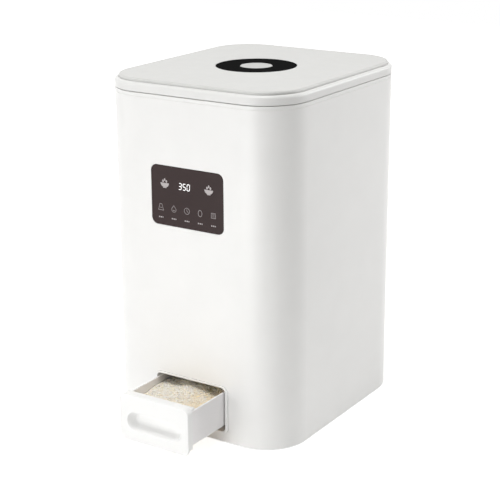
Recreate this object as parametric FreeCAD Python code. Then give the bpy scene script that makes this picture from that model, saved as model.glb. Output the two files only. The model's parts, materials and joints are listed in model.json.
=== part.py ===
import FreeCAD, Part
import math
import os
from FreeCAD import Vector

# Counter-top rice dispenser: hinged lid, hopper, motor-driven metering rotor and a weighed drawer.
# Millimetres. X to the right seen from the front, Y to the back, Z up; the origin lies on the floor
# under the centre of the body. The drawer is modelled partly open and the lid shut.

# ---------------------------------------------------------------- body and rim
overall_height = 400.0
body_width = 239.5
body_depth = 277.0
corner_radius = 51.0
shell_wall = 2.8
shell_foot_round = 1.2
rim_band = 4.0
rim_edge_round = 0.7
seam_chamfer = 0.4
rim_ledge = 2.0
rim_wall = 2.0
rim_spigot_depth = 15.0
fit_gap = 0.2
running_gap = 0.3
pin_gap = 0.05

# ---------------------------------------------------------------- base and feet
foot_radius = 9.0
foot_proud = 1.2
foot_inset = 37.0
foot_pad_margin = 3.0
foot_pad_roof = 1.6
foot_height = 3.5
foot_chamfer = 0.5
base_recess = 0.6
base_thickness = 3.0
base_upstand = 6.5
base_rib_height = 2.6
base_rib_width = 1.8
base_rib_offset = 8.0
column_radius = 5.5
column_height = 26.0
column_overlap = 1.0
screw_radius = 1.5
screw_head_radius = 2.8
screw_head_height = 1.6
screw_length = 14.0
base_screw_length = 12.0
pilot_radius = 1.0
small_screw_radius = 0.8
small_screw_head = 2.0
small_hole_radius = 1.2

# ---------------------------------------------------------------- lid
lid_height = 13.8
lid_gap = 0.8
lid_wall = 2.6
lid_shoulder_drop = 3.8
lid_shoulder_round = 3.6
cover_inset = 4.0
cover_groove = 0.4
cover_seat_depth = 1.6
cover_plate = 2.4
cover_edge_round = 2.4
cover_wall = 2.2
cover_rib = 1.6
cover_rib_count = 8
deck_thickness = 2.2
ring_radius = 46.0
ring_thickness = 1.2
ring_sink = 0.1
ring_sleeve_wall = 1.7
button_radius = 18.4
button_cap = 2.5
button_skirt = 1.3
button_skirt_wall = 1.6
button_edge_round = 0.8
button_travel = 4.0
liner_flange = 1.8
liner_wall = 2.0
liner_mouth_gap = 2.0
liner_drop = 13.4
lid_boss_radius = 4.2
lid_boss_inset = 17.0
lid_screw_length = 11.0
lid_boss_foot = 6.0
seal_width = 3.6
seal_offset = 1.2
seal_sink = 1.0

# ---------------------------------------------------------------- latch
stem_radius = 3.0
post_wall = 2.0
post_height = 10.0
button_spring_radius = 5.8
button_spring_wire = 0.4
wedge_inner = 8.5
wedge_width = 3.0
wedge_tip = 4.0
slider_width = 14.0
slider_thickness = 2.8
slider_frame = 34.0
hook_width = 12.0
hook_thickness = 3.0
hook_depth = 15.1
hook_setback = 9.75
nose_reach = 3.1
nose_height = 3.8
leaf_thickness = 0.4
leaf_width = 14.0
leaf_bulge = 2.6
latch_slot_margin = 2.0
latch_slot_depth = 6.0
latch_slot_clearance = 0.7
stake_radius = 0.9
stake_spacing = 8.0
stake_proud = 0.6
stake_raise = 4.5
latch_spring_length = 16.0
latch_spring_radius = 1.9
latch_spring_wire = 0.3

# ---------------------------------------------------------------- lid hinge
hinge_offset = 5.5
hinge_drop = 3.4
hinge_spacing = 124.0
hinge_eye_radius = 5.0
hinge_pin_radius = 2.0
hinge_head_margin = 1.2
hinge_head_thickness = 1.2
knuckle_width = 9.0
ear_width = 5.0

# ---------------------------------------------------------------- drying-agent holder in the lid
dryer_offset = 72.0
dryer_neck_radius = 29.0
dryer_cap_margin = 4.0
dryer_cap_thickness = 2.2
dryer_tab_reach = 2.2
dryer_tab_width = 10.0
dryer_tab_count = 3
dryer_vent_circle = 17.0
dryer_vent_radius = 1.6
dryer_vent_count = 10
dryer_grip_height = 4.0
cartridge_radius = 24.0
cartridge_height = 9.0
cartridge_edge_round = 1.5
cartridge_slot_count = 8
cartridge_slot_width = 2.0
cartridge_slot_depth = 1.5

# ---------------------------------------------------------------- hopper
mouth_side = 12.25
mouth_front = 29.25
mouth_rear = 13.25
mouth_radius = 38.0
hopper_wall = 2.2
hopper_flange_width = 6.0
hopper_flange_thickness = 2.4
hopper_shoulder_height = 205.0
hopper_rib_count = 5
hopper_rib_proud = 1.2
hopper_rib_height = 1.8
hopper_screw_length = 7.0
outlet_length = 48.0
outlet_depth = 34.0
outlet_corner = 4.0
outlet_flange_margin = 12.0
outlet_flange_thickness = 2.5
outlet_flange_corner = 5.0
gasket_inset = 0.5
gasket_thickness = 1.5

# ---------------------------------------------------------------- touch panel
glass_width = 94.5
glass_height = 67.0
glass_corner = 7.5
glass_thickness = 1.6
glass_ledge = 4.5
glass_window_corner = 3.0
glass_centre_height = 276.0
board_margin = 5.5
board_gap = 8.0
board_thickness = 1.6
board_hole_inset = 2.5
board_hole_drop = 9.0
board_post_radius = 3.0
board_screw_length = 6.0
digit_width = 38.0
digit_height = 18.0
digit_raise = 12.5
touch_key_count = 5
touch_key_pitch = 17.3
touch_key_drop = 13.6
touch_spring_radius = 3.0
touch_spring_wire = 0.35

# ---------------------------------------------------------------- drawer and bezel
drawer_box_width = 89.6
drawer_box_height = 41.0
drawer_box_length = 124.0
drawer_wall = 1.8
drawer_corner = 6.0
drawer_foot_round = 3.0
drawer_floor_round = 2.0
drawer_open = 60.9
runner_height = 2.0
runner_reach = 1.9
runner_length = 18.0
front_thickness = 8.5
front_lip_thickness = 3.0
front_corner = 7.5
front_edge_round = 1.2
front_side_cover = 0.1
front_top_cover = 0.7
front_bottom_cover = 2.3
front_lip_height = 7.0
front_skin = 2.2
front_boss_radius = 2.6
front_screw_inset = 5.5
front_screw_raise = 7.0
front_screw_drop = 4.5
front_screw_length = 7.0
grip_width = 72.0
grip_height = 22.0
grip_depth = 12.0
grip_taper = 5.5
grip_centre_drop = 3.0
grip_floor_round = 4.5
grip_rim_round = 0.8
grip_wall = 1.8
opening_side_gap = 1.5
opening_top_gap = 4.8
opening_bottom_gap = 6.1
opening_corner = 5.0
bezel_side = 3.9
bezel_top = 2.6
bezel_bottom = 3.0
bezel_thickness = 1.6
bezel_proud = 0.8
bezel_sleeve_wall = 1.6
bezel_sleeve_length = 11.5
bezel_corner = 8.0
bezel_edge_round = 0.35
bezel_lip_round = 0.8

# ---------------------------------------------------------------- weighing cradle
cradle_floor = 2.0
cradle_rail = 0.7
cradle_rail_width = 6.0
cradle_rail_spacing = 60.0
cradle_side_gap = 2.3
cradle_wall = 2.0
cradle_wall_height = 21.0
cradle_lip_height = 1.8
cradle_front_gap = 2.0
cradle_rear_gap = 4.0
cradle_pad_height = 3.0
cell_width = 12.0
cell_height = 6.0
cell_length = 76.0
cell_boss_height = 3.2
cell_hole_spacing = 10.0
cell_slit = 1.4
cell_pad_length = 14.0
cell_boss_margin = 1.0
cell_screw_spacing = 8.0

# ---------------------------------------------------------------- metering rotor and drive
rotor_radius = 22.0
rotor_length = 54.0
rotor_pockets = 6
pocket_radius = 8.9
pocket_centre = 19.5
rotor_gap = 0.6
rotor_end_gap = 0.5
housing_wall = 2.5
housing_flange_thickness = 2.5
lug_radius = 4.0
lug_length = 12.0
lug_offset = 2.0
lug_angle = 35.0
housing_boss_height = 8.0
housing_screw_length = 9.0
chute_height = 10.0
chute_clearance = 7.0
throat_height = 7.0
chute_wall = 2.5
shaft_radius = 3.0
shaft_flat_depth = 0.8
bush_wall = 2.0
bush_flange_radius = 7.0
bush_flange = 1.5
rotor_pin_radius = 1.0
gear_module = 1.0
gear_teeth = 40
pinion_teeth = 14
gear_width = 7.0
gear_gap = 1.0
gear_backlash = 0.16
gear_mesh_clearance = 0.05
gear_addendum = 0.85
gear_dedendum = 1.2
gear_rim = 2.2
gear_hole_radius = 2.2
gear_hole_count = 6
pressure_angle = 20.0
gear_hub_radius = 7.0
gear_web_width = 3.0
motor_radius = 12.0
motor_can_radius = 10.0
motor_gearbox_length = 18.0
motor_can_length = 25.0
motor_shaft_radius = 2.0
motor_screw_inset = 3.5
motor_screw_radius = 1.0
motor_screw_head = 1.6
motor_end_boss_radius = 3.5
bracket_thickness = 2.0
bracket_post_radius = 3.5

# ---------------------------------------------------------------- power
cell_radius = 9.2
cell_can_length = 65.0
cell_count = 2
cell_pitch = 20.0
holder_wall = 1.6
holder_side = 57.75
holder_rear = 54.5
port_width = 9.0
port_height = 3.2
port_length = 7.4
port_setback = 1.3
port_dish_margin = 3.0
port_dish_depth = 1.2
port_side = 59.75
port_centre_height = 28.0
power_board_width = 30.0
power_board_length = 26.0
power_post_radius = 3.5
power_screw_length = 7.0
holder_pad_length = 8.0
holder_pad_width = 6.0

# ---------------------------------------------------------------- places worked out from the sizes
front_y = -body_depth / 2
rear_y = body_depth / 2
inner_front_y = front_y + shell_wall
inner_rear_y = rear_y - shell_wall
holder_x = holder_side - body_width / 2
holder_y = body_depth / 2 - holder_rear
port_x = body_width / 2 - port_side

lid_bottom = overall_height - lid_height
rim_top = lid_bottom - lid_gap
shell_top = rim_top - rim_band
shell_bottom = foot_proud
base_low = shell_bottom + base_recess
base_high = base_low + base_thickness

mouth_width = body_width - 2 * mouth_side
mouth_depth = body_depth - mouth_front - mouth_rear
mouth_centre = (mouth_front - mouth_rear) / 2

cell_low = base_high + cell_boss_height
cell_high = cell_low + cell_height
cradle_low = cell_high + cradle_pad_height
cradle_top = cradle_low + cradle_floor + cradle_rail
drawer_low = cradle_top + running_gap
drawer_high = drawer_low + drawer_box_height
opening_low = drawer_low - opening_bottom_gap
opening_high = drawer_high + opening_top_gap
opening_width = drawer_box_width + 2 * opening_side_gap
front_low = opening_low - front_bottom_cover
front_high = opening_high + front_top_cover
front_width = opening_width + 2 * front_side_cover
grip_z = (front_low + front_high) / 2 - grip_centre_drop

bezel_face_y = front_y - bezel_proud
closed_face_y = bezel_face_y - fit_gap * 2 - front_thickness
face_y = closed_face_y - drawer_open
box_front_y = face_y + front_thickness
box_rear_y = box_front_y + drawer_box_length
pocket_bay = grip_depth + grip_wall - front_thickness + running_gap
closed_box_rear_y = box_rear_y + drawer_open

rotor_y = closed_box_rear_y - drawer_box_length / 2 + pocket_bay
rotor_z = drawer_high + chute_clearance + chute_height + rotor_radius
housing_bore = rotor_radius + rotor_gap
housing_half = rotor_length / 2 + rotor_end_gap
housing_top = rotor_z + rotor_radius + throat_height
outlet_low = housing_top + gasket_thickness
outlet_high = outlet_low + outlet_flange_thickness
gear_low_x = housing_half + housing_wall + bush_flange + gear_gap
gear_high_x = gear_low_x + gear_width
gear_distance = gear_module * (gear_teeth + pinion_teeth) / 2 + gear_mesh_clearance
pinion_y = rotor_y + gear_distance
bracket_x = gear_high_x + gear_gap + 1.0
bush_outer = shaft_radius + pin_gap + bush_wall

frame_top = lid_bottom + lid_height - lid_shoulder_drop
cover_seat = frame_top - cover_seat_depth
deck_low = cover_seat - deck_thickness
ring_top = overall_height - ring_sink
sleeve_inner = button_radius + running_gap
sleeve_outer = sleeve_inner + ring_sleeve_wall
liner_high = lid_bottom + lid_gap / 2 + liner_flange
liner_flange_low = liner_high - liner_flange
liner_low = rim_top - liner_drop
liner_floor = liner_low + liner_wall
liner_width = mouth_width - 2 * liner_mouth_gap
liner_depth = mouth_depth - 2 * liner_mouth_gap
liner_radius = mouth_radius - liner_mouth_gap
slider_low = liner_high + running_gap
slider_high = slider_low + slider_thickness
button_top = ring_top - ring_sink
button_under = button_top - button_cap
hook_front = front_y + hook_setback
hook_low = slider_high - hook_depth - slider_thickness
ramp_start = 2.0
hinge_y = rear_y + hinge_offset
hinge_z = rim_top - hinge_drop
dryer_cap_low = liner_low - running_gap - dryer_cap_thickness


# ---------------------------------------------------------------- helpers
def rounded_edges(width, height, radius):
    """Edges of a rectangle with round corners about the origin in the XY plane."""
    half_w = width / 2
    half_h = height / 2
    corners = [(half_w, half_h, 0), (-half_w, half_h, 90), (-half_w, -half_h, 180), (half_w, -half_h, 270)]
    edges = []
    last_point = None
    first_point = None
    for x, y, start in corners:
        centre = Vector(x - math.copysign(radius, x), y - math.copysign(radius, y), 0)
        points = [centre + Vector(radius * math.cos(math.radians(start + turn)),
                                  radius * math.sin(math.radians(start + turn)), 0) for turn in (0, 45, 90)]
        if last_point is not None and last_point.distanceToPoint(points[0]) > 1e-6:
            edges.append(Part.LineSegment(last_point, points[0]).toShape())
        edges.append(Part.Arc(*points).toShape())
        first_point = first_point or points[0]
        last_point = points[2]
    if last_point.distanceToPoint(first_point) > 1e-6:
        edges.append(Part.LineSegment(last_point, first_point).toShape())
    return edges


def flat_wire(width, depth, radius, z, x=0.0, y=0.0):
    """Horizontal rounded rectangle at height z."""
    wire = Part.Wire(rounded_edges(width, depth, radius))
    wire.translate(Vector(x, y, z))
    return wire


def upright_wire(width, height, radius, y, x=0.0, z=0.0):
    """Upright rounded rectangle in the plane at depth y."""
    wire = Part.Wire(rounded_edges(width, height, radius))
    wire.rotate(Vector(0, 0, 0), Vector(1, 0, 0), 90)
    wire.translate(Vector(x, y, z))
    return wire


def prism(width, depth, radius, z_low, z_high, x=0.0, y=0.0):
    """Upright block with round corners."""
    return Part.Face(flat_wire(width, depth, radius, z_low, x, y)).extrude(Vector(0, 0, z_high - z_low))


def front_prism(width, height, radius, y_low, y_high, z, x=0.0):
    """Block with round corners seen from the front, running back from y_low to y_high."""
    return Part.Face(upright_wire(width, height, radius, y_low, x, z)).extrude(Vector(0, y_high - y_low, 0))


def footprint(inset, z_low, z_high):
    """Block with the body's outline, moved in by inset."""
    return prism(body_width - 2 * inset, body_depth - 2 * inset, corner_radius - inset, z_low, z_high)


def block(x_low, x_high, y_low, y_high, z_low, z_high):
    """Plain block between two corners."""
    return Part.makeBox(x_high - x_low, y_high - y_low, z_high - z_low, Vector(x_low, y_low, z_low))


def rod(radius, start, end):
    """Round rod between two points."""
    axis = end - start
    return Part.makeCylinder(radius, axis.Length, start, axis)


def tube(outer, inner, start, end):
    """Round tube between two points."""
    return rod(outer, start, end).cut(rod(inner, start, end))


def side_plate(points, x_low, x_high):
    """Plate of constant thickness along X from an outline of (y, z) points."""
    corners = [Vector(x_low, y, z) for y, z in points]
    return Part.Face(Part.makePolygon(corners + corners[:1])).extrude(Vector(x_high - x_low, 0, 0))


def screw(seat, along, length=screw_length, shank=screw_radius, head=screw_head_radius):
    """Cap screw: its head stands on the seat point and its shank runs along the given direction."""
    way = Vector(along).normalize()
    body = rod(head, seat - way * screw_head_height, seat)
    body = body.fuse(rod(shank, seat, seat + way * length))
    recess = rod(head * 0.45, seat - way * screw_head_height, seat - way * screw_head_height * 0.4)
    return body.cut(recess)


def coil(mean_radius, wire_radius, length, turns, per_turn=12):
    """Helical spring standing on the origin along Z, drawn as straight spans with a six-sided wire."""
    count = int(turns * per_turn)
    points = [Vector(mean_radius * math.cos(2 * math.pi * i / per_turn),
                     mean_radius * math.sin(2 * math.pi * i / per_turn),
                     wire_radius + (length - 2 * wire_radius) * i / count) for i in range(count + 1)]
    circle = Part.makeCircle(wire_radius, points[0], points[1] - points[0])
    turn = (circle.LastParameter - circle.FirstParameter) / 6
    section = [circle.valueAt(circle.FirstParameter + turn * side) for side in range(6)]
    return Part.makePolygon(points).makePipeShell([Part.makePolygon(section + section[:1])], True, True, 1)


def mirrored(shape):
    """The shape and its mirror image across the YZ plane."""
    return [shape, shape.mirror(Vector(0, 0, 0), Vector(1, 0, 0))]


def level_edges(shape, z):
    """Edges that lie wholly at height z."""
    return [edge for edge in shape.Edges
            if abs(edge.BoundBox.ZMin - z) < 1e-4 and abs(edge.BoundBox.ZMax - z) < 1e-4]


def facing_edges(shape, y):
    """Edges that lie wholly in the upright plane at depth y."""
    return [edge for edge in shape.Edges
            if abs(edge.BoundBox.YMin - y) < 1e-4 and abs(edge.BoundBox.YMax - y) < 1e-4]


def fuse_all(shapes):
    """One solid made of overlapping or touching solids."""
    return shapes[0].multiFuse(shapes[1:]).removeSplitter()


def write(name, shape):
    """Write one node."""
    shape.exportStep("parts/" + name + ".step")


# ---------------------------------------------------------------- shared places
def column_places():
    """Screw columns in the four round corners of the shell."""
    reach = (corner_radius - shell_wall - column_radius + column_overlap) * math.sqrt(0.5)
    x = body_width / 2 - corner_radius + reach
    y = body_depth / 2 - corner_radius + reach
    return [(x, y), (-x, y), (-x, -y), (x, -y)]


def foot_places():
    """Centres of the four corner feet and of the one under the middle."""
    x = body_width / 2 - foot_inset
    y = body_depth / 2 - foot_inset
    return [(x, y), (-x, y), (-x, -y), (x, -y), (0.0, 0.0)]


def board_posts():
    """Centres (x, z) of the posts that carry the control board."""
    x = glass_width / 2 + board_margin - board_hole_inset
    z = glass_height / 2 - board_hole_drop
    return [(side * x, glass_centre_height + up * z) for side in (-1, 1) for up in (-1, 1)]


def lid_boss_places():
    """Screw bosses that join the lid liner to the lid frame."""
    x = liner_width / 2 - lid_boss_inset
    y = liner_depth / 2 - lid_boss_inset
    return [(side * x, mouth_centre + up * y) for side in (-1, 1) for up in (-1, 0, 1)]


def outlet_screw_places():
    """Screws through the hopper outlet, gasket and rotor housing."""
    x = outlet_length / 2 + outlet_flange_margin / 2
    y = outlet_depth / 2 + outlet_flange_margin / 2
    return [(side * x, rotor_y + up * y) for side in (-1, 1) for up in (-1, 1)]


def hinge_centres():
    """Middle of each of the two lid hinges along X."""
    return [-hinge_spacing / 2, hinge_spacing / 2]


def cell_screw_places():
    """Load-cell screws: one pair at the cradle end, one pair at the base end."""
    front = cell_front_y() + cell_pad_length / 2
    rear = cell_front_y() + cell_length - cell_pad_length / 2
    return front, rear


def cell_front_y():
    """Front end of the load cell, which is centred under the shut drawer."""
    return closed_box_rear_y - drawer_box_length / 2 - cell_length / 2


# ---------------------------------------------------------------- cabinet
def body_shell():
    """Moulded outer shell: four walls with round corners, open above and below."""
    shell = footprint(0, shell_bottom, shell_top)
    shell = shell.makeFillet(shell_foot_round, level_edges(shell, shell_bottom))
    shell = shell.makeChamfer(seam_chamfer, level_edges(shell, shell_top))
    shell = shell.cut(footprint(shell_wall, shell_bottom - 1, shell_top + 1))
    extras = []
    for x, y in column_places():
        extras.append(rod(column_radius, Vector(x, y, base_high), Vector(x, y, base_high + column_height)))
    board_y = front_y + glass_thickness + board_gap
    for x, z in board_posts():
        extras.append(rod(board_post_radius, Vector(x, inner_front_y - 0.6, z), Vector(x, board_y, z)))
    shell = fuse_all([shell] + extras)
    shell = shell.common(footprint(0, shell_bottom - 1, shell_top + 1))
    for x, y in column_places():
        start = Vector(x, y, base_high - 1)
        shell = shell.cut(rod(screw_radius + fit_gap, start, start + Vector(0, 0, screw_length)))
    for x, z in board_posts():
        shell = shell.cut(rod(pilot_radius, Vector(x, inner_front_y + 0.4, z), Vector(x, board_y + 1, z)))
    pocket_w = glass_width + 2 * fit_gap
    pocket_h = glass_height + 2 * fit_gap
    shell = shell.cut(front_prism(pocket_w, pocket_h, glass_corner + fit_gap, front_y - 1,
                                  front_y + glass_thickness, glass_centre_height))
    shell = shell.cut(front_prism(glass_width - 2 * glass_ledge, glass_height - 2 * glass_ledge,
                                  glass_window_corner,
                                  front_y - 1, inner_front_y + 1, glass_centre_height))
    shell = shell.cut(bezel_flange(fit_gap, 1.0))
    shell = shell.cut(bezel_sleeve(fit_gap, 0.0))
    port = front_prism(port_width + 2 * fit_gap, port_height + 2 * fit_gap, port_height / 2 - 0.1,
                       inner_rear_y - 1, rear_y + 1, port_centre_height, port_x)
    dish = front_prism(port_width + 2 * port_dish_margin, port_height + 2 * port_dish_margin,
                       port_height / 2 + port_dish_margin - 0.5, rear_y - port_dish_depth, rear_y + 1,
                       port_centre_height, port_x)
    return shell.cut(port).cut(dish)


def hinge_ear(x_low, x_high):
    """One hinge ear of the rim: an eye on an arm that grows out of the rim band."""
    eye = rod(hinge_eye_radius, Vector(x_low, hinge_y, hinge_z), Vector(x_high, hinge_y, hinge_z))
    arm = block(x_low, x_high, rear_y - 1.0, hinge_y, shell_top + 0.3, rim_top)
    return eye.fuse(arm)


def top_rim():
    """Rim that closes the top of the shell, carries the hopper by its flange and holds the hinge ears."""
    deck_thick = hopper_flange_thickness
    ledge_low = rim_top - 2 * deck_thick
    seat_w = mouth_width + 2 * hopper_flange_width + 2 * running_gap
    seat_d = mouth_depth + 2 * hopper_flange_width + 2 * running_gap
    seat_r = mouth_radius + hopper_flange_width + running_gap
    rim = footprint(0, shell_top, rim_top)
    rim = rim.makeFillet(rim_edge_round, level_edges(rim, rim_top))
    rim = rim.makeChamfer(seam_chamfer, level_edges(rim, shell_top))
    spigot = footprint(shell_wall + fit_gap, shell_top - rim_spigot_depth, shell_top + 1)
    rim = rim.fuse(spigot)
    hollow = footprint(shell_wall + fit_gap + rim_wall, shell_top - rim_spigot_depth - 1,
                       rim_top - deck_thick)
    ledge = prism(seat_w + 2 * rim_ledge, seat_d + 2 * rim_ledge, seat_r + rim_ledge, ledge_low,
                  rim_top - deck_thick, 0, mouth_centre)
    rim = rim.cut(hollow.cut(ledge))
    rim = rim.cut(prism(seat_w, seat_d, seat_r, rim_top - deck_thick, rim_top + 1, 0, mouth_centre))
    inner = mouth_radius + hopper_wall + running_gap
    rim = rim.cut(prism(mouth_width + 2 * (hopper_wall + running_gap),
                        mouth_depth + 2 * (hopper_wall + running_gap),
                        inner, shell_top - rim_spigot_depth - 1, rim_top + 1, 0, mouth_centre))
    ears = []
    for centre in hinge_centres():
        inside = knuckle_width / 2 + running_gap
        ears.append(hinge_ear(centre - inside - ear_width, centre - inside))
        ears.append(hinge_ear(centre + inside, centre + inside + ear_width))
    rim = fuse_all([rim] + ears)
    for centre in hinge_centres():
        rim = rim.cut(hinge_bore(centre, hinge_pin_radius + pin_gap))
    half_slot = leaf_width / 2 + latch_slot_margin
    slot = block(-half_slot, half_slot, slot_front_y(), slot_rear_y(), shell_top - latch_slot_depth,
                 rim_top + 1)
    rim = rim.cut(slot)
    return fuse_all([rim] + [rod(stake_radius, place - Vector(0, 1, 0),
                                 place + Vector(0, leaf_thickness + stake_proud, 0))
                             for place in stake_places()])


def stake_places():
    """Studs on the rim's front wall that hold the leaf spring."""
    z = shell_top - rim_spigot_depth + stake_raise
    return [Vector(side * stake_spacing / 2, slot_front_y(), z) for side in (-1, 1)]


def slot_front_y():
    """Front end of the hook slot in the rim: clear of the leaf spring's wall."""
    return inner_front_y + fit_gap + rim_wall


def slot_rear_y():
    """Rear end of the hook slot, which leaves room for the drawn-back hook."""
    return hook_front + hook_thickness + button_travel + latch_slot_clearance


def hinge_bore(centre, radius):
    """Round hole through one hinge along X."""
    reach = knuckle_width / 2 + ear_width + 2
    return rod(radius, Vector(centre - reach, hinge_y, hinge_z), Vector(centre + reach, hinge_y, hinge_z))


def hinge_pins():
    """Two steel pins, each with a head outside the outer ear."""
    pins = []
    for centre in hinge_centres():
        reach = knuckle_width / 2 + ear_width + running_gap
        side = math.copysign(1, centre)
        start = Vector(centre - side * (reach + 0.5), hinge_y, hinge_z)
        end = Vector(centre + side * (reach + 0.1), hinge_y, hinge_z)
        head = rod(hinge_pin_radius + hinge_head_margin, end, end + Vector(side * hinge_head_thickness, 0, 0))
        pins.append(rod(hinge_pin_radius, start, end).fuse(head))
    return Part.Compound(pins)


def base_tray():
    """Bottom plate with an upstand, ribs, foot pads, the load-cell boss and the power posts."""
    inset = shell_wall + running_gap
    plate = footprint(inset, base_low, base_high)
    wall = footprint(inset, base_high, base_high + base_upstand)
    wall = wall.cut(footprint(inset + base_rib_width, base_high - 1, base_high + base_upstand + 1))
    pieces = [plate, wall]
    half_w = body_width / 2 - inset - 1
    half_d = body_depth / 2 - inset - 1
    corner_clear = corner_radius
    rib_top = base_high + base_rib_height
    for x in (-half_w + corner_clear, -cell_width / 2 - base_rib_offset, cell_width / 2 + base_rib_offset,
              half_w - corner_clear):
        pieces.append(block(x - base_rib_width / 2, x + base_rib_width / 2, -half_d, half_d, base_high,
                            rib_top))
    for y in (-half_d + corner_clear, half_d - corner_clear):
        pieces.append(block(-half_w, half_w, y - base_rib_width / 2, y + base_rib_width / 2, base_high,
                            rib_top))
    for x, y in foot_places():
        top = shell_bottom - foot_proud + foot_height + foot_pad_roof
        pieces.append(rod(foot_radius + foot_pad_margin, Vector(x, y, base_high - 1),
                          Vector(x, y, max(top, base_high))))
    rear = cell_screw_places()[1]
    half_boss = cell_width / 2 + cell_boss_margin
    pieces.append(block(-half_boss, half_boss, rear - cell_pad_length / 2, rear + cell_pad_length / 2,
                        base_high, cell_low))
    for x, y in power_post_places():
        pieces.append(rod(power_post_radius, Vector(x, y, base_high), Vector(x, y, power_board_low())))
    for x, y in holder_pads():
        pieces.append(block(x - holder_pad_length / 2, x + holder_pad_length / 2, y - holder_pad_width / 2,
                            y + holder_pad_width / 2, base_high, rib_top))
    tray = fuse_all(pieces)
    for x, y in column_places():
        tray = tray.cut(rod(column_radius + fit_gap, Vector(x, y, base_high), Vector(x, y, base_high + 40)))
        tray = tray.cut(rod(screw_radius + fit_gap, Vector(x, y, 0), Vector(x, y, base_high + 1)))
        tray = tray.cut(rod(screw_head_radius + fit_gap, Vector(x, y, 0), Vector(x, y, base_screw_seat())))
    for x, y in foot_places():
        tray = tray.cut(rod(foot_radius + fit_gap, Vector(x, y, 0), Vector(x, y, foot_height)))
    for along in (-cell_screw_spacing / 2, cell_screw_spacing / 2):
        seat = Vector(0, rear + along, 0)
        tray = tray.cut(rod(screw_radius + fit_gap, seat, seat + Vector(0, 0, cell_low + 1)))
        tray = tray.cut(rod(screw_head_radius + fit_gap, seat, seat + Vector(0, 0, base_screw_seat())))
    for x, y in power_post_places():
        top = Vector(x, y, power_board_low() + 1)
        tray = tray.cut(rod(pilot_radius, top - Vector(0, 0, power_screw_length + 2), top))
    return tray


def base_screw_seat():
    """Height at which the heads of the bottom screws seat in the tray."""
    return base_low + screw_head_height


def rubber_feet():
    """Round feet with a chamfered lower edge."""
    feet = []
    for x, y in foot_places():
        foot = rod(foot_radius, Vector(x, y, 0), Vector(x, y, foot_height))
        feet.append(foot.makeChamfer(foot_chamfer, level_edges(foot, 0.0)))
    return Part.Compound(feet)


def base_screws():
    """Four screws from below into the shell's columns."""
    return Part.Compound([screw(Vector(x, y, base_screw_seat()), (0, 0, 1), base_screw_length)
                          for x, y in column_places()])


# ---------------------------------------------------------------- hopper
def hopper_shape(grow, z_extra):
    """Straight bin above a funnel that leads to the off-centre outlet, grown sideways by grow."""
    top = prism(mouth_width + 2 * grow, mouth_depth + 2 * grow, mouth_radius + grow,
                hopper_shoulder_height, rim_top + z_extra, 0, mouth_centre)
    upper = flat_wire(mouth_width + 2 * grow, mouth_depth + 2 * grow, mouth_radius + grow,
                      hopper_shoulder_height, 0, mouth_centre)
    lower = flat_wire(outlet_length + 2 * grow, outlet_depth + 2 * grow, outlet_corner + grow,
                      outlet_high, 0, rotor_y)
    neck = prism(outlet_length + 2 * grow, outlet_depth + 2 * grow, outlet_corner + grow,
                 outlet_low - z_extra, outlet_high, 0, rotor_y)
    funnel = Part.makeLoft([lower, upper], True, True)
    return fuse_all([top, funnel, neck])


def rice_hopper():
    """Moulded hopper: flange, thin walls with stiffening beads, funnel and bolted outlet flange."""
    outer = hopper_shape(hopper_wall, 0.0)
    flange = prism(mouth_width + 2 * hopper_flange_width, mouth_depth + 2 * hopper_flange_width,
                   mouth_radius + hopper_flange_width, rim_top - hopper_flange_thickness, rim_top, 0,
                   mouth_centre)
    outlet = prism(outlet_length + 2 * outlet_flange_margin, outlet_depth + 2 * outlet_flange_margin,
                   outlet_flange_corner,
                   outlet_low, outlet_high, 0, rotor_y)
    pieces = [outer, flange, outlet]
    spacing = (shell_top - rim_spigot_depth - hopper_shoulder_height) / (hopper_rib_count + 1)
    for index in range(1, hopper_rib_count + 1):
        z = hopper_shoulder_height + index * spacing
        reach = hopper_wall + hopper_rib_proud
        pieces.append(prism(mouth_width + 2 * reach, mouth_depth + 2 * reach, mouth_radius + reach,
                            z - hopper_rib_height / 2, z + hopper_rib_height / 2, 0, mouth_centre))
    hopper = fuse_all(pieces).cut(hopper_shape(0.0, 1.0))
    for x, y in outlet_screw_places():
        hopper = hopper.cut(rod(screw_radius + fit_gap, Vector(x, y, outlet_low - 1),
                                Vector(x, y, outlet_high + 9)))
    return hopper


def outlet_gasket():
    """Flat silicone gasket between the hopper outlet and the rotor housing."""
    margin = outlet_flange_margin - gasket_inset
    plate = prism(outlet_length + 2 * margin, outlet_depth + 2 * margin, outlet_flange_corner,
                  housing_top, outlet_low, 0, rotor_y)
    plate = plate.cut(prism(outlet_length, outlet_depth, outlet_corner, housing_top - 1, outlet_low + 1, 0,
                            rotor_y))
    for x, y in outlet_screw_places():
        plate = plate.cut(rod(screw_radius + fit_gap, Vector(x, y, housing_top - 1),
                              Vector(x, y, outlet_low + 1)))
    return plate


def hopper_screws():
    """Four screws from above through the outlet flange into the housing flange."""
    return Part.Compound([screw(Vector(x, y, outlet_high), (0, 0, -1), hopper_screw_length) for x,
                          y in outlet_screw_places()])


# ---------------------------------------------------------------- metering rotor and drive
def along_x(x):
    """Point on the rotor axis."""
    return Vector(x, rotor_y, rotor_z)


def housing_lugs():
    """Centres (y, z) of the screw lugs between the housing and its cover."""
    reach = housing_bore + housing_wall + lug_offset
    places = []
    for angle in (-lug_angle, lug_angle - 180, lug_angle, 180 - lug_angle):
        turn = math.radians(angle)
        places.append((rotor_y + reach * math.cos(turn), rotor_z + reach * math.sin(turn)))
    return places


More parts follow.
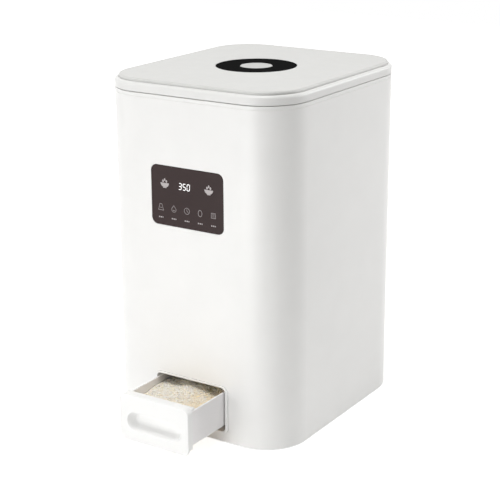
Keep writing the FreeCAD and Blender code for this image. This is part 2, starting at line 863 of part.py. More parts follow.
def rotor_housing():
    """Barrel around the rotor with the inlet throat above and the chute below, open on the drive side."""
    left = -housing_half - housing_wall
    outer_r = housing_bore + housing_wall
    barrel = rod(outer_r, along_x(left), along_x(housing_half))
    throat = prism(outlet_length + 2 * chute_wall, outlet_depth + 2 * chute_wall, outlet_corner,
                   rotor_z, housing_top, 0, rotor_y)
    flange = prism(outlet_length + 2 * outlet_flange_margin, outlet_depth + 2 * outlet_flange_margin,
                   outlet_flange_corner,
                   housing_top - housing_flange_thickness, housing_top, 0, rotor_y)
    chute_low = drawer_high + chute_clearance
    chute = prism(outlet_length + 2 * chute_wall, outlet_depth + 2 * chute_wall, outlet_corner,
                  chute_low, rotor_z, 0, rotor_y)
    pieces = [barrel, throat, flange, chute]
    for y, z in housing_lugs():
        pieces.append(rod(lug_radius, Vector(housing_half - lug_length, y, z), Vector(housing_half, y, z)))
    for x, y in outlet_screw_places():
        pieces.append(rod(lug_radius, Vector(x, y, housing_top - housing_boss_height),
                          Vector(x, y, housing_top)))
    housing = fuse_all(pieces)
    housing = housing.cut(rod(housing_bore, along_x(-housing_half), along_x(housing_half + 1)))
    housing = housing.cut(prism(outlet_length, outlet_depth, outlet_corner, rotor_z, housing_top + 1, 0,
                                rotor_y))
    housing = housing.cut(prism(outlet_length, outlet_depth, outlet_corner, chute_low - 1, rotor_z, 0,
                                rotor_y))
    housing = housing.cut(rod(bush_outer + pin_gap, along_x(left - 1), along_x(0)))
    for y, z in housing_lugs():
        start = Vector(housing_half - lug_length + 2, y, z)
        housing = housing.cut(rod(screw_radius + fit_gap, start, Vector(housing_half + 1, y, z)))
    for x, y in outlet_screw_places():
        start = Vector(x, y, housing_top - housing_boss_height + 1)
        housing = housing.cut(rod(screw_radius + fit_gap, start, Vector(x, y, housing_top + 1)))
    return housing


def housing_cover():
    """Round cover that closes the drive side of the barrel."""
    x_low = housing_half
    x_high = housing_half + housing_wall
    plate = rod(housing_bore + housing_wall, along_x(x_low), along_x(x_high))
    for y, z in housing_lugs():
        plate = plate.fuse(rod(lug_radius, Vector(x_low, y, z), Vector(x_high, y, z)))
    plate = plate.removeSplitter()
    plate = plate.cut(rod(bush_outer + pin_gap, along_x(x_low - 1), along_x(x_high + 1)))
    for y, z in housing_lugs():
        plate = plate.cut(rod(screw_radius + fit_gap, Vector(x_low - 1, y, z), Vector(x_high + 1, y, z)))
    return plate


def housing_screws():
    """Two screws through the cover into the housing lugs that no bracket post stands on."""
    lugs = housing_lugs()
    seat = housing_half + housing_wall
    return Part.Compound([screw(Vector(seat, y, z), (-1, 0, 0), housing_screw_length) for y, z in lugs[1::2]])


def shaft_bushes():
    """Two flanged bushes, one in the barrel's closed end and one in the cover."""
    bushes = []
    for side in (-1, 1):
        inner_face = along_x(side * housing_half)
        outer_face = along_x(side * (housing_half + housing_wall))
        flange_face = along_x(side * (housing_half + housing_wall + bush_flange))
        bush = rod(bush_outer, inner_face, outer_face).fuse(rod(bush_flange_radius, outer_face, flange_face))
        bushes.append(bush.cut(rod(shaft_radius + pin_gap, along_x(-80), along_x(80))))
    return Part.Compound(bushes)


def metering_rotor():
    """Star wheel: a drum with scooped pockets that leave curved vanes between them."""
    half = rotor_length / 2
    drum = rod(rotor_radius, along_x(-half), along_x(half))
    for index in range(rotor_pockets):
        turn = 2 * math.pi * index / rotor_pockets + math.pi / rotor_pockets
        centre = Vector(0, pocket_centre * math.cos(turn), pocket_centre * math.sin(turn))
        scoop = rod(pocket_radius, along_x(-half - 1) + centre, along_x(half + 1) + centre)
        drum = drum.cut(scoop)
    drum = drum.cut(rod(shaft_radius + pin_gap, along_x(-half - 1), along_x(half + 1)))
    return drum.cut(pin_hole(rotor_pin_radius + pin_gap))


def pin_hole(radius):
    """Round hole across the rotor hub."""
    reach = pocket_centre - pocket_radius - 0.8
    return rod(radius, along_x(0) - Vector(0, 0, reach), along_x(0) + Vector(0, 0, reach))


def rotor_shaft():
    """Steel shaft with a flat at the gear end and a cross hole for the pin."""
    left = along_x(-housing_half - housing_wall - bush_flange - 2)
    right = along_x(gear_high_x + 1.0)
    shaft = rod(shaft_radius, left, right)
    shaft = shaft.cut(shaft_flat(0.0))
    return shaft.cut(pin_hole(rotor_pin_radius + pin_gap))


def shaft_flat(grow):
    """Block that cuts the flat of the shaft's gear end."""
    low = rotor_z + shaft_radius - shaft_flat_depth + grow
    return block(gear_low_x, gear_high_x + 2, rotor_y - 5, rotor_y + 5, low, low + 5)


def rotor_pin():
    """Cross pin that keys the rotor to its shaft."""
    return pin_hole(rotor_pin_radius)


def gear_profile(teeth, tooth_phase):
    """Closed wire of an involute spur gear in the YZ plane about the origin, one tooth at tooth_phase."""
    pitch_r = gear_module * teeth / 2
    base_r = pitch_r * math.cos(math.radians(pressure_angle))
    root_r = pitch_r - gear_dedendum * gear_module
    tip_r = pitch_r + gear_addendum * gear_module
    involute_at_pitch = math.tan(math.radians(pressure_angle)) - math.radians(pressure_angle)
    half_tooth = (math.pi * gear_module / 2 - gear_backlash) / (2 * pitch_r)

    def flank_angle(radius):
        reach = math.acos(min(1.0, base_r / max(radius, base_r)))
        return half_tooth + involute_at_pitch - (math.tan(reach) - reach)

    def point(radius, angle):
        return Vector(0, radius * math.cos(angle), radius * math.sin(angle))

    start_r = max(root_r, base_r)
    radii = [start_r + (tip_r - start_r) * step / 3 for step in range(4)]
    edges = []
    pitch = 2 * math.pi / teeth
    for index in range(teeth):
        middle = tooth_phase + index * pitch
        rising = [point(root_r, middle - flank_angle(start_r))] if root_r < start_r else []
        rising += [point(radius, middle - flank_angle(radius)) for radius in radii]
        falling = [point(radius, middle + flank_angle(radius)) for radius in reversed(radii)]
        falling += [point(root_r, middle + flank_angle(start_r))] if root_r < start_r else []
        next_root = point(root_r if root_r < start_r else start_r, middle + pitch - flank_angle(start_r))
        gap_middle = point(root_r, middle + pitch / 2)
        edges += [Part.LineSegment(a, b).toShape() for a, b in zip(rising, rising[1:])]
        edges.append(Part.Arc(rising[-1], point(tip_r, middle), falling[0]).toShape())
        edges += [Part.LineSegment(a, b).toShape() for a, b in zip(falling, falling[1:])]
        edges.append(Part.Arc(falling[-1], gap_middle, next_root).toShape())
    return Part.Wire(edges)


def spur_gear(teeth, tooth_phase, x_low, x_high, y, z):
    """Spur gear blank with its teeth, along X."""
    wire = gear_profile(teeth, tooth_phase)
    wire.translate(Vector(x_low, y, z))
    return Part.Face(wire).extrude(Vector(x_high - x_low, 0, 0))


def drive_gear():
    """Moulded gear on the rotor shaft: toothed rim, thin web, hub with a D-shaped bore."""
    gear = spur_gear(gear_teeth, 0.0, gear_low_x, gear_high_x, rotor_y, rotor_z)
    rim_inner = gear_module * (gear_teeth / 2 - gear_dedendum) - gear_rim
    web_side = (gear_width - gear_web_width) / 2
    for start, end in ((gear_low_x, gear_low_x + web_side), (gear_high_x - web_side, gear_high_x)):
        gear = gear.cut(tube(rim_inner, gear_hub_radius, along_x(start), along_x(end)))
    for index in range(gear_hole_count):
        turn = 2 * math.pi / gear_hole_count * index
        middle = (rim_inner + gear_hub_radius) / 2
        offset = Vector(0, middle * math.cos(turn), middle * math.sin(turn))
        gear = gear.cut(rod(gear_hole_radius, along_x(gear_low_x - 1) + offset,
                            along_x(gear_high_x + 1) + offset))
    bore = rod(shaft_radius + pin_gap, along_x(gear_low_x - 1), along_x(gear_high_x + 1))
    return gear.cut(bore.cut(shaft_flat(pin_gap)))


def motor_axis(x):
    """Point on the motor's output axis."""
    return Vector(x, pinion_y, rotor_z)


def motor_pinion():
    """Brass pinion on the gearbox's output shaft, a gap facing the gear."""
    half_pitch = math.pi / pinion_teeth
    facing_gap = math.pi + half_pitch
    pinion = spur_gear(pinion_teeth, facing_gap, gear_low_x, gear_high_x, pinion_y, rotor_z)
    return pinion.fuse(rod(motor_shaft_radius, motor_axis(gear_high_x),
                           motor_axis(bracket_x + bracket_thickness + 4)))


def bracket_screw_places():
    """Centres (y, z) of the two screws that hold the gearbox to its bracket."""
    return [(pinion_y, rotor_z + side * (motor_radius - motor_screw_inset)) for side in (-1, 1)]


def motor_bracket():
    """Plate that carries the motor, standing on two posts from the housing cover."""
    x_low = bracket_x
    x_high = bracket_x + bracket_thickness
    lugs = housing_lugs()[0::2]
    pieces = [rod(motor_radius + 1.5, motor_axis(x_low), motor_axis(x_high))]
    for y, z in lugs:
        pieces.append(rod(bracket_post_radius + 1, Vector(x_low, y, z), Vector(x_high, y, z)))
        way = Vector(0, pinion_y - y, rotor_z - z)
        across = Vector(0, -way.z, way.y).normalize() * (bracket_post_radius + 1)
        start = Vector(x_low, y, z)
        end = motor_axis(x_low)
        corners = [start + across, end + across, end - across, start - across]
        pieces.append(Part.Face(Part.makePolygon(corners + corners[:1])).extrude(Vector(bracket_thickness, 0,
                                                                                        0)))
        post_start = Vector(housing_half + housing_wall, y, z)
        pieces.append(rod(bracket_post_radius, post_start, Vector(x_low + 0.5, y, z)))
    bracket = fuse_all(pieces)
    bracket = bracket.cut(rod(motor_shaft_radius + 1.0, motor_axis(x_low - 1), motor_axis(x_high + 1)))
    for y, z in lugs:
        bracket = bracket.cut(rod(screw_radius + fit_gap, Vector(housing_half, y, z),
                                  Vector(x_high + 1, y, z)))
    for y, z in bracket_screw_places():
        bracket = bracket.cut(rod(small_hole_radius, Vector(x_low - 1, y, z), Vector(x_high + 1, y, z)))
    return bracket


def motor_screws():
    """Two long screws through the bracket posts and two short ones into the gearbox."""
    length = bracket_x + bracket_thickness - housing_half + 8
    screws = [screw(Vector(bracket_x + bracket_thickness, y, z), (-1, 0, 0), length) for y,
              z in housing_lugs()[0::2]]
    for y, z in bracket_screw_places():
        screws.append(screw(Vector(bracket_x, y, z), (1, 0, 0), bracket_thickness + 3, motor_screw_radius,
                            motor_screw_head))
    return Part.Compound(screws)


def gear_motor():
    """Gear motor: gearbox, motor can, end boss and two solder tags."""
    start = bracket_x + bracket_thickness
    middle = start + motor_gearbox_length
    end = middle + motor_can_length
    motor = rod(motor_radius, motor_axis(start), motor_axis(middle))
    can = rod(motor_can_radius, motor_axis(middle), motor_axis(end))
    can = can.makeFillet(1.0, [edge for edge in can.Edges if abs(edge.BoundBox.XMin - end) < 1e-4])
    motor = motor.fuse(can).fuse(rod(motor_end_boss_radius, motor_axis(end - 1), motor_axis(end + 2)))
    for side in (-1, 1):
        motor = motor.fuse(block(end - 0.5, end + 5, pinion_y - 1, pinion_y + 1, rotor_z + side * 6 - 0.3,
                                 rotor_z + side * 6 + 0.3))
    motor = motor.cut(rod(motor_shaft_radius + 0.3, motor_axis(start - 1), motor_axis(start + 4.5)))
    for y, z in bracket_screw_places():
        motor = motor.cut(rod(small_hole_radius, Vector(start - 1, y, z), Vector(start + 4, y, z)))
    return motor


# ---------------------------------------------------------------- drawer, bezel and scale
def bezel_flange(grow, ahead):
    """Flange of the bezel, grown sideways by grow and forward by ahead."""
    low = opening_low - bezel_bottom
    high = opening_high + bezel_top
    return front_prism(opening_width + 2 * bezel_side + 2 * grow, high - low + 2 * grow, bezel_corner + grow,
                       bezel_face_y - ahead, bezel_face_y + bezel_thickness, (low + high) / 2)


def bezel_sleeve(grow, shorten):
    """Outside of the bezel's sleeve through the front wall."""
    wall = bezel_sleeve_wall + grow
    return front_prism(opening_width + 2 * wall, opening_high - opening_low + 2 * wall, opening_corner + wall,
                       bezel_face_y + 0.1, bezel_face_y + bezel_thickness + bezel_sleeve_length - shorten,
                       (opening_low + opening_high) / 2)


def drawer_bezel():
    """Frame around the drawer opening: a flange let into the front wall and a sleeve through it."""
    flange = bezel_flange(0.0, 0.0)
    flange = flange.makeFillet(bezel_edge_round, facing_edges(flange, bezel_face_y))
    frame = flange.fuse(bezel_sleeve(0.0, 0.0)).removeSplitter()
    hole = front_prism(opening_width, opening_high - opening_low, opening_corner, bezel_face_y - 1,
                       bezel_face_y + bezel_thickness + bezel_sleeve_length + 1,
                       (opening_low + opening_high) / 2)
    frame = frame.cut(hole)
    lip = [edge for edge in facing_edges(frame, bezel_face_y)
           if abs(edge.CenterOfMass.x) < opening_width / 2 + 0.5 and opening_low - 0.5 < edge.CenterOfMass.z
           < opening_high + 0.5]
    return frame.makeFillet(bezel_lip_round, lip)


def grip_loft(grow, depth, start):
    """Dished finger recess as a loft between two stadiums, grown by grow."""
    mouth = upright_wire(grip_width + 2 * grow, grip_height + 2 * grow, grip_height / 2 + grow, start, 0,
                         grip_z)
    inner_w = grip_width + 2 * grow - 2 * grip_taper
    inner_h = grip_height + 2 * grow - 2 * grip_taper
    floor = upright_wire(inner_w, inner_h, inner_h / 2, start + depth, 0, grip_z)
    return Part.makeLoft([mouth, floor], True, True)


def drawer_front():
    """Chunky drawer front: rounded plate with a thin lip below and a dished finger recess."""
    height = front_high - front_low
    middle = (front_high + front_low) / 2
    plate = front_prism(front_width, height, front_corner, face_y, face_y + front_lip_thickness, middle)
    plate = plate.makeFillet(front_edge_round, facing_edges(plate, face_y))
    thick = front_prism(front_width, height, front_corner, face_y + front_edge_round + 0.2,
                        face_y + front_thickness, middle)
    thick = thick.common(block(-front_width, front_width, face_y, box_front_y, front_low + front_lip_height,
                               front_high))
    hollow = front_prism(front_width - 2 * front_skin, height - 2 * front_skin, front_corner - front_skin,
                         face_y + front_edge_round + front_skin, box_front_y + 1, middle)
    hollow = hollow.common(block(-front_width, front_width, face_y, box_front_y + 1,
                                 front_low + front_lip_height + front_skin, front_high))
    front = plate.fuse(thick.cut(hollow)).removeSplitter()
    bulge = grip_loft(grip_wall, grip_depth + grip_wall - front_edge_round, face_y + front_edge_round)
    deck = block(-drawer_box_width / 2 + 1, drawer_box_width / 2 - 1, face_y + front_edge_round,
                 box_front_y + pocket_bay + drawer_wall, drawer_high + running_gap,
                 drawer_high + running_gap + front_skin)
    bosses = []
    for side in (-1, 1):
        for z in front_screw_heights():
            x = side * (drawer_box_width / 2 - front_screw_inset)
            bosses.append(rod(front_boss_radius, Vector(x, face_y + front_edge_round, z),
                              Vector(x, box_front_y + pocket_bay, z)))
    front = fuse_all([front, bulge, deck] + bosses)
    recess = grip_loft(0.0, grip_depth, face_y)
    recess = recess.makeFillet(grip_floor_round, facing_edges(recess, face_y + grip_depth))
    front = front.cut(recess)
    rim = [edge for edge in facing_edges(front, face_y)
           if abs(edge.CenterOfMass.z - grip_z) < grip_height / 2 + 0.5
           and abs(edge.CenterOfMass.x) < grip_width / 2 + 0.5]
    front = front.makeFillet(grip_rim_round, rim)
    for x, z in front_screw_places():
        start = Vector(x, box_front_y + pocket_bay + 1, z)
        front = front.cut(rod(small_hole_radius, start - Vector(0, front_screw_length + 2, 0), start))
    return front


def front_screw_heights():
    """Heights of the screws that join the drawer front to its box."""
    return (drawer_low + front_screw_raise, drawer_high - front_screw_drop)


def front_screw_places():
    """Places (x, z) of the screws that join the drawer front to its box."""
    x = drawer_box_width / 2 - front_screw_inset
    return [(side * x, z) for side in (-1, 1) for z in front_screw_heights()]


def drawer_box():
    """Rice drawer: round-cornered tray whose side walls run on ahead of its front wall as cheeks."""
    middle = (box_front_y + box_rear_y) / 2
    outer = prism(drawer_box_width, drawer_box_length, drawer_corner, drawer_low, drawer_high, 0, middle)
    outer = outer.makeFillet(drawer_foot_round, level_edges(outer, drawer_low))
    cheek_square = block(-drawer_box_width / 2, drawer_box_width / 2, box_front_y,
                         box_front_y + drawer_corner + 3,
                         drawer_low, drawer_high)
    keel = [edge for edge in cheek_square.Edges if abs(edge.CenterOfMass.z - drawer_low) < 1e-4
            and abs(abs(edge.CenterOfMass.x) - drawer_box_width / 2) < 1e-4]
    outer = outer.fuse(cheek_square.makeFillet(drawer_foot_round, keel)).removeSplitter()
    inner_front = box_front_y + pocket_bay + drawer_wall
    inner_length = box_rear_y - drawer_wall - inner_front
    inner = prism(drawer_box_width - 2 * drawer_wall, inner_length, drawer_corner - drawer_wall,
                  drawer_low + drawer_wall, drawer_high + 1, 0, inner_front + inner_length / 2)
    inner = inner.makeFillet(drawer_floor_round, level_edges(inner, drawer_low + drawer_wall))
    bay = block(-drawer_box_width / 2 + drawer_wall, drawer_box_width / 2 - drawer_wall, box_front_y - 1,
                box_front_y + pocket_bay, drawer_low + drawer_wall, drawer_high + 1)
    box = outer.cut(inner).cut(bay)
    runner_high = cradle_lip_low() - running_gap
    runner = block(drawer_box_width / 2 - 0.5, drawer_box_width / 2 + runner_reach,
                   box_rear_y - drawer_corner - runner_length,
                   box_rear_y - drawer_corner, runner_high - runner_height, runner_high)
    box = fuse_all([box] + mirrored(runner))
    for x, z in front_screw_places():
        box = box.cut(rod(1.4, Vector(x, box_front_y + pocket_bay - 1, z), Vector(x, inner_front + 1, z)))
        box = box.cut(rod(small_screw_head + fit_gap, Vector(x, inner_front, z),
                          Vector(x, inner_front + 4, z)))
    return box


def drawer_screws():
    """Four small screws from inside the box into the drawer front's bosses."""
    seat_y = box_front_y + pocket_bay + drawer_wall
    return Part.Compound([screw(Vector(x, seat_y, z), (0, -1, 0), front_screw_length, pilot_radius,
                                small_screw_head) for x, z in front_screw_places()])


def cradle_lip_low():
    """Underside of the cradle's lips, which hold the drawer's runners down."""
    return cradle_low + cradle_floor + cradle_wall_height - cradle_lip_height


def weigh_cradle():
    """Tray that guides the drawer and rests on the load cell: floor, rails, walls and overhanging lips."""
    y_low = bezel_face_y + bezel_thickness + bezel_sleeve_length + cradle_front_gap
    y_high = closed_box_rear_y + cradle_rear_gap + cradle_wall
    inner_half = drawer_box_width / 2 + cradle_side_gap
    outer_half = inner_half + cradle_wall
    floor_top = cradle_low + cradle_floor
    wall_top = floor_top + cradle_wall_height
    pieces = [block(-outer_half, outer_half, y_low, y_high, cradle_low, floor_top)]
    for side in (-1, 1):
        x_in = side * inner_half
        x_out = side * outer_half
        x_lip = side * (drawer_box_width / 2 + 2 * running_gap)
        pieces.append(block(min(x_in, x_out), max(x_in, x_out), y_low, y_high, cradle_low, wall_top))
        pieces.append(block(min(x_lip, x_out), max(x_lip, x_out), y_low, y_high, cradle_lip_low(), wall_top))
        rail_x = side * cradle_rail_spacing / 2
        pieces.append(block(rail_x - cradle_rail_width / 2, rail_x + cradle_rail_width / 2, y_low,
                            y_high - cradle_wall,
                            cradle_low, cradle_top))
    pieces.append(block(-outer_half, outer_half, y_high - cradle_wall, y_high, cradle_low, wall_top))
    front = cell_screw_places()[0]
    half_boss = cell_width / 2 + cell_boss_margin
    pieces.append(block(-half_boss, half_boss, front - cell_pad_length / 2, front + cell_pad_length / 2,
                        cell_high, cradle_low))
    cradle = fuse_all(pieces)
    for along in (-cell_screw_spacing / 2, cell_screw_spacing / 2):
        seat = Vector(0, front + along, floor_top + 1)
        cradle = cradle.cut(rod(screw_radius + fit_gap, Vector(0, front + along, cell_high - 1), seat))
        cradle = cradle.cut(rod(screw_head_radius + fit_gap, Vector(0, front + along, cradle_screw_seat()),
                                seat))
    return cradle


def cradle_screw_seat():
    """Height at which the cradle screws' heads seat."""
    return cradle_low + cradle_floor - screw_head_height


def load_cell():
    """Bar load cell with the double hole that makes its middle bend."""
    y_low = cell_front_y()
    bar = block(-cell_width / 2, cell_width / 2, y_low, y_low + cell_length, cell_low, cell_high)
    middle = y_low + cell_length / 2
    z = (cell_low + cell_high) / 2
    for shift in (-cell_hole_spacing / 2, cell_hole_spacing / 2):
        bar = bar.cut(rod(cell_height * 0.36, Vector(-cell_width, middle + shift, z),
                          Vector(cell_width, middle + shift, z)))
    bar = bar.cut(block(-cell_width, cell_width, middle - cell_hole_spacing / 2,
                        middle + cell_hole_spacing / 2,
                        z - cell_slit / 2, z + cell_slit / 2))
    for y in [place + side * cell_screw_spacing / 2 for place in cell_screw_places() for side in (-1, 1)]:
        bar = bar.cut(rod(screw_radius + fit_gap, Vector(0, y, cell_low - 1), Vector(0, y, cell_high + 1)))
    return bar


def load_cell_screws():
    """Two screws down from the cradle and two up from the base, all into the load cell."""
    front, rear = cell_screw_places()
    screws = []
    for along in (-cell_screw_spacing / 2, cell_screw_spacing / 2):
        top = Vector(0, front + along, cradle_screw_seat())
        screws.append(screw(top, (0, 0, -1), cradle_screw_seat() - cell_low - 0.5))
        low = Vector(0, rear + along, base_screw_seat())
        screws.append(screw(low, (0, 0, 1), cell_high - base_screw_seat() - 0.5))
    return Part.Compound(screws)


# ---------------------------------------------------------------- touch panel
def touch_glass():
    """Dark glass of the touch panel, let flush into the front wall."""
    glass = front_prism(glass_width, glass_height, glass_corner, front_y, front_y + glass_thickness,
                        glass_centre_height)
    return glass.makeFillet(0.3, facing_edges(glass, front_y))


def board_plane():
    """Depth of the control board's front face."""
    return front_y + glass_thickness + board_gap


def control_board():
    """Circuit board behind the glass with a chip and two connectors on its rear."""
    chip_half = 8
    chip_height = 1.6
    connector_length = 12
    connector_height = 4
    connector_low = glass_centre_height - 24
    connector_high = glass_centre_height - 18
    width = glass_width + 2 * board_margin + 1
    low = board_plane()
    high = low + board_thickness
    board = front_prism(width, glass_height - 8, 2.0, low, high, glass_centre_height)
    board = board.fuse(block(-chip_half, chip_half, high - 0.2, high + chip_height,
                             glass_centre_height - chip_half, glass_centre_height + chip_half))
    for x in (-34, 22):
        board = board.fuse(block(x, x + connector_length, high - 0.2, high + connector_height,
                                 connector_low, connector_high))
    for x, z in board_posts():
        board = board.cut(rod(small_hole_radius, Vector(x, low - 1, z), Vector(x, high + 1, z)))
    return board


def digit_display():
    """Light block that shows the weight behind the glass."""
    low = board_plane() - board_gap + 0.6
    return front_prism(digit_width, digit_height, 1.0, low, board_plane(), glass_centre_height + digit_raise)


def touch_springs():
    """Coil springs that carry the touch keys from the board to the back of the glass."""
    springs = []
    for index in range(touch_key_count):
        spring = coil(touch_spring_radius, touch_spring_wire, board_gap, 4, 8)
        spring.rotate(Vector(0, 0, 0), Vector(1, 0, 0), -90)
        x = (index - (touch_key_count - 1) / 2) * touch_key_pitch
        spring.translate(Vector(x, front_y + glass_thickness, glass_centre_height - touch_key_drop))
        springs.append(spring)
    return Part.Compound(springs)


def board_screws():
    """Four small screws that hold the control board on its posts."""
    seat = board_plane() + board_thickness
    return Part.Compound([screw(Vector(x, seat, z), (0, -1, 0), board_screw_length, small_screw_radius,
                                small_screw_head) for x, z in board_posts()])


# ---------------------------------------------------------------- power
def holder_pads():
    """Pads of the base tray that the battery holder stands on."""
    x = cell_can_length / 2 - 8
    y = (cell_count - 1) * cell_pitch / 2 + cell_radius - 2
    return [(holder_x + side * x, holder_y + up * y) for side in (-1, 1) for up in (-1, 1)]


def battery_holder():
    """Open tray with end walls that clips the battery cells side by side."""
    half_l = cell_can_length / 2 + holder_wall + 0.5
    half_w = (cell_count - 1) * cell_pitch / 2 + cell_radius + holder_wall + 0.3
    low = base_high + base_rib_height
    floor = low + holder_wall
    tray = block(holder_x - half_l, holder_x + half_l, holder_y - half_w, holder_y + half_w, low,
                 floor + cell_radius * 1.3)
    for index in range(cell_count):
        y = holder_y + (index - (cell_count - 1) / 2) * cell_pitch
        z = floor + cell_radius + running_gap
        reach = cell_can_length / 2 + 0.5
        groove = rod(cell_radius + running_gap, Vector(holder_x - reach, y, z),
                     Vector(holder_x + reach, y, z))
        tray = tray.cut(groove)
        tray = tray.cut(block(holder_x - reach, holder_x + reach, y - cell_radius - running_gap,
                              y + cell_radius + running_gap, z, z + 30))
    return tray


def battery_cells():
    """Round rechargeable cells lying side by side, each with its raised contact."""
    cells = []
    z = base_high + base_rib_height + holder_wall + cell_radius + running_gap
    for index in range(cell_count):
        y = holder_y + (index - (cell_count - 1) / 2) * cell_pitch
        start = Vector(holder_x - cell_can_length / 2, y, z)
        end = Vector(holder_x + cell_can_length / 2 - 1.5, y, z)
        can = rod(cell_radius, start, end)
        cells.append(can.fuse(rod(3.0, end, end + Vector(1.5, 0, 0))))
    return Part.Compound(cells)


def power_board_low():
    """Height of the power board's underside."""
    return port_centre_height - port_height / 2 - board_thickness


def power_post_places():
    """Posts of the base tray that carry the power board."""
    y = inner_rear_y - 0.6 - power_board_length + 5
    return [(port_x - power_board_width / 2 + 4.5, y), (port_x + power_board_width / 2 - 4.5, y)]


def power_board():
    """Small charging board behind the rear wall."""
    rear = inner_rear_y - 0.6
    low = power_board_low()
    high = low + board_thickness
    board = block(port_x - power_board_width / 2, port_x + power_board_width / 2, rear - power_board_length,
                  rear, low, high)
    board = board.fuse(block(port_x - 6, port_x + 6, rear - 20, rear - 13, high - 0.2, high + 3))
    for x, y in power_post_places():
        board = board.cut(rod(1.2, Vector(x, y, low - 1), Vector(x, y, high + 1)))
    return board


def power_board_screws():
    """Two small screws that hold the power board on its posts."""
    high = power_board_low() + board_thickness
    return Part.Compound([screw(Vector(x, y, high), (0, 0, -1), power_screw_length, small_screw_radius,
                                small_screw_head) for x, y in power_post_places()])


def charge_port():
    """Steel shell of the charging socket with its tongue."""
    sheet = 0.3
    tongue_half_width = 3.3
    tongue_half_height = 0.35
    tongue_setback = 1.2
    rear = rear_y - port_setback
    radius = port_height / 2 - 0.1
    shell = front_prism(port_width, port_height, radius, rear - port_length, rear, port_centre_height, port_x)
    shell = shell.cut(front_prism(port_width - 2 * sheet, port_height - 2 * sheet, radius - sheet,
                                  rear - port_length + 2 * sheet, rear + 1, port_centre_height, port_x))
    tongue = block(port_x - tongue_half_width, port_x + tongue_half_width,
                   rear - port_length + sheet, rear - tongue_setback,
                   port_centre_height - tongue_half_height, port_centre_height + tongue_half_height)
    return shell.fuse(tongue)


# ---------------------------------------------------------------- lid
def lid_knuckle(centre):
    """Hinge knuckle of the lid: an eye on an arm that reaches over the rim."""
    low = centre - knuckle_width / 2
    high = centre + knuckle_width / 2
    eye_r = hinge_eye_radius - running_gap
    inside_eye = eye_r - 0.4
    root_y = rear_y - 1.5
    root_top = frame_top - lid_shoulder_round - 0.4
    arm_low = lid_bottom + 0.4
    eye = rod(eye_r, Vector(low, hinge_y, hinge_z), Vector(high, hinge_y, hinge_z))
    outline = [(root_y, arm_low), (hinge_y - inside_eye, arm_low), (hinge_y - inside_eye, hinge_z),
               (hinge_y + inside_eye, hinge_z), (hinge_y + inside_eye, arm_low + 0.2),
               (rear_y, root_top), (root_y, root_top)]
    return eye.fuse(side_plate(outline, low, high))


def lid_frame():
    """Lid skirt with its rounded shoulder, inner deck, hinge knuckles, screw bosses and slider guides."""
    frame = footprint(0, lid_bottom, frame_top)
    frame = frame.makeFillet(lid_shoulder_round, level_edges(frame, frame_top))
    frame = frame.cut(footprint(cover_inset, cover_seat, frame_top + 1))
    frame = frame.cut(footprint(lid_wall, lid_bottom - 1, deck_low))
    pieces = [frame]
    pieces += [lid_knuckle(centre) for centre in hinge_centres()]
    for x, y in lid_boss_places():
        pieces.append(rod(lid_boss_radius, Vector(x, y, liner_floor + liner_wall),
                          Vector(x, y, deck_low + 0.5)))
    guide_front = hook_front + 14
    guide_rear = -slider_frame / 2 - 8
    for side in (-1, 1):
        inner = side * (slider_width / 2 + running_gap)
        outer = inner + side * 2.0
        pieces.append(block(min(inner, outer), max(inner, outer), guide_front, guide_rear, slider_low + 0.4,
                            deck_low + 0.5))
    stop = latch_spring_seat() + latch_spring_length
    pieces.append(block(-5, 5, stop, stop + 2.0, slider_low - 1.4, deck_low + 0.5))
    frame = fuse_all(pieces)
    frame = frame.cut(rod(sleeve_outer + running_gap, Vector(0, 0, deck_low - 1),
                          Vector(0, 0, cover_seat + 1)))
    for x, y in lid_boss_places():
        low = Vector(x, y, liner_floor)
        frame = frame.cut(rod(screw_radius + fit_gap, low, low + Vector(0, 0, lid_screw_length + 1)))
    for centre in hinge_centres():
        frame = frame.cut(hinge_bore(centre, hinge_pin_radius + pin_gap))
    return frame


def lid_cover():
    """Top plate of the lid with a rounded edge, ribs below and the recess for the ring."""
    inset = cover_inset + cover_groove
    cover = footprint(inset, cover_seat, overall_height)
    cover = cover.makeFillet(cover_edge_round, level_edges(cover, overall_height))
    under = footprint(inset + cover_wall, cover_seat - 1, overall_height - cover_plate)
    keep = [rod(ring_radius + 3, Vector(0, 0, cover_seat), Vector(0, 0, overall_height - cover_plate))]
    for index in range(cover_rib_count):
        rib = block(ring_radius, body_depth, -cover_rib / 2, cover_rib / 2, cover_seat,
                    overall_height - cover_plate)
        rib.rotate(Vector(0, 0, 0), Vector(0, 0, 1), 360 / cover_rib_count * index)
        keep.append(rib)
    for piece in keep:
        under = under.cut(piece)
    cover = cover.cut(under)
    cover = cover.cut(rod(ring_radius + fit_gap / 2, Vector(0, 0, ring_top - ring_thickness),
                          Vector(0, 0, overall_height + 1)))
    return cover.cut(rod(sleeve_outer + running_gap, Vector(0, 0, cover_seat - 1),
                         Vector(0, 0, overall_height + 1)))


def lid_ring():
    """Dark ring around the button, with the sleeve that guides it."""
    top = Vector(0, 0, ring_top)
    flange_low = Vector(0, 0, ring_top - ring_thickness)
    ring = rod(ring_radius, flange_low, top)
    ring = ring.makeChamfer(0.2, level_edges(ring, ring_top))
    ring = ring.fuse(rod(sleeve_outer, Vector(0, 0, deck_low), top))
    return ring.cut(rod(sleeve_inner, Vector(0, 0, deck_low - 1),
                        Vector(0, 0, ring_top + 1))).removeSplitter()


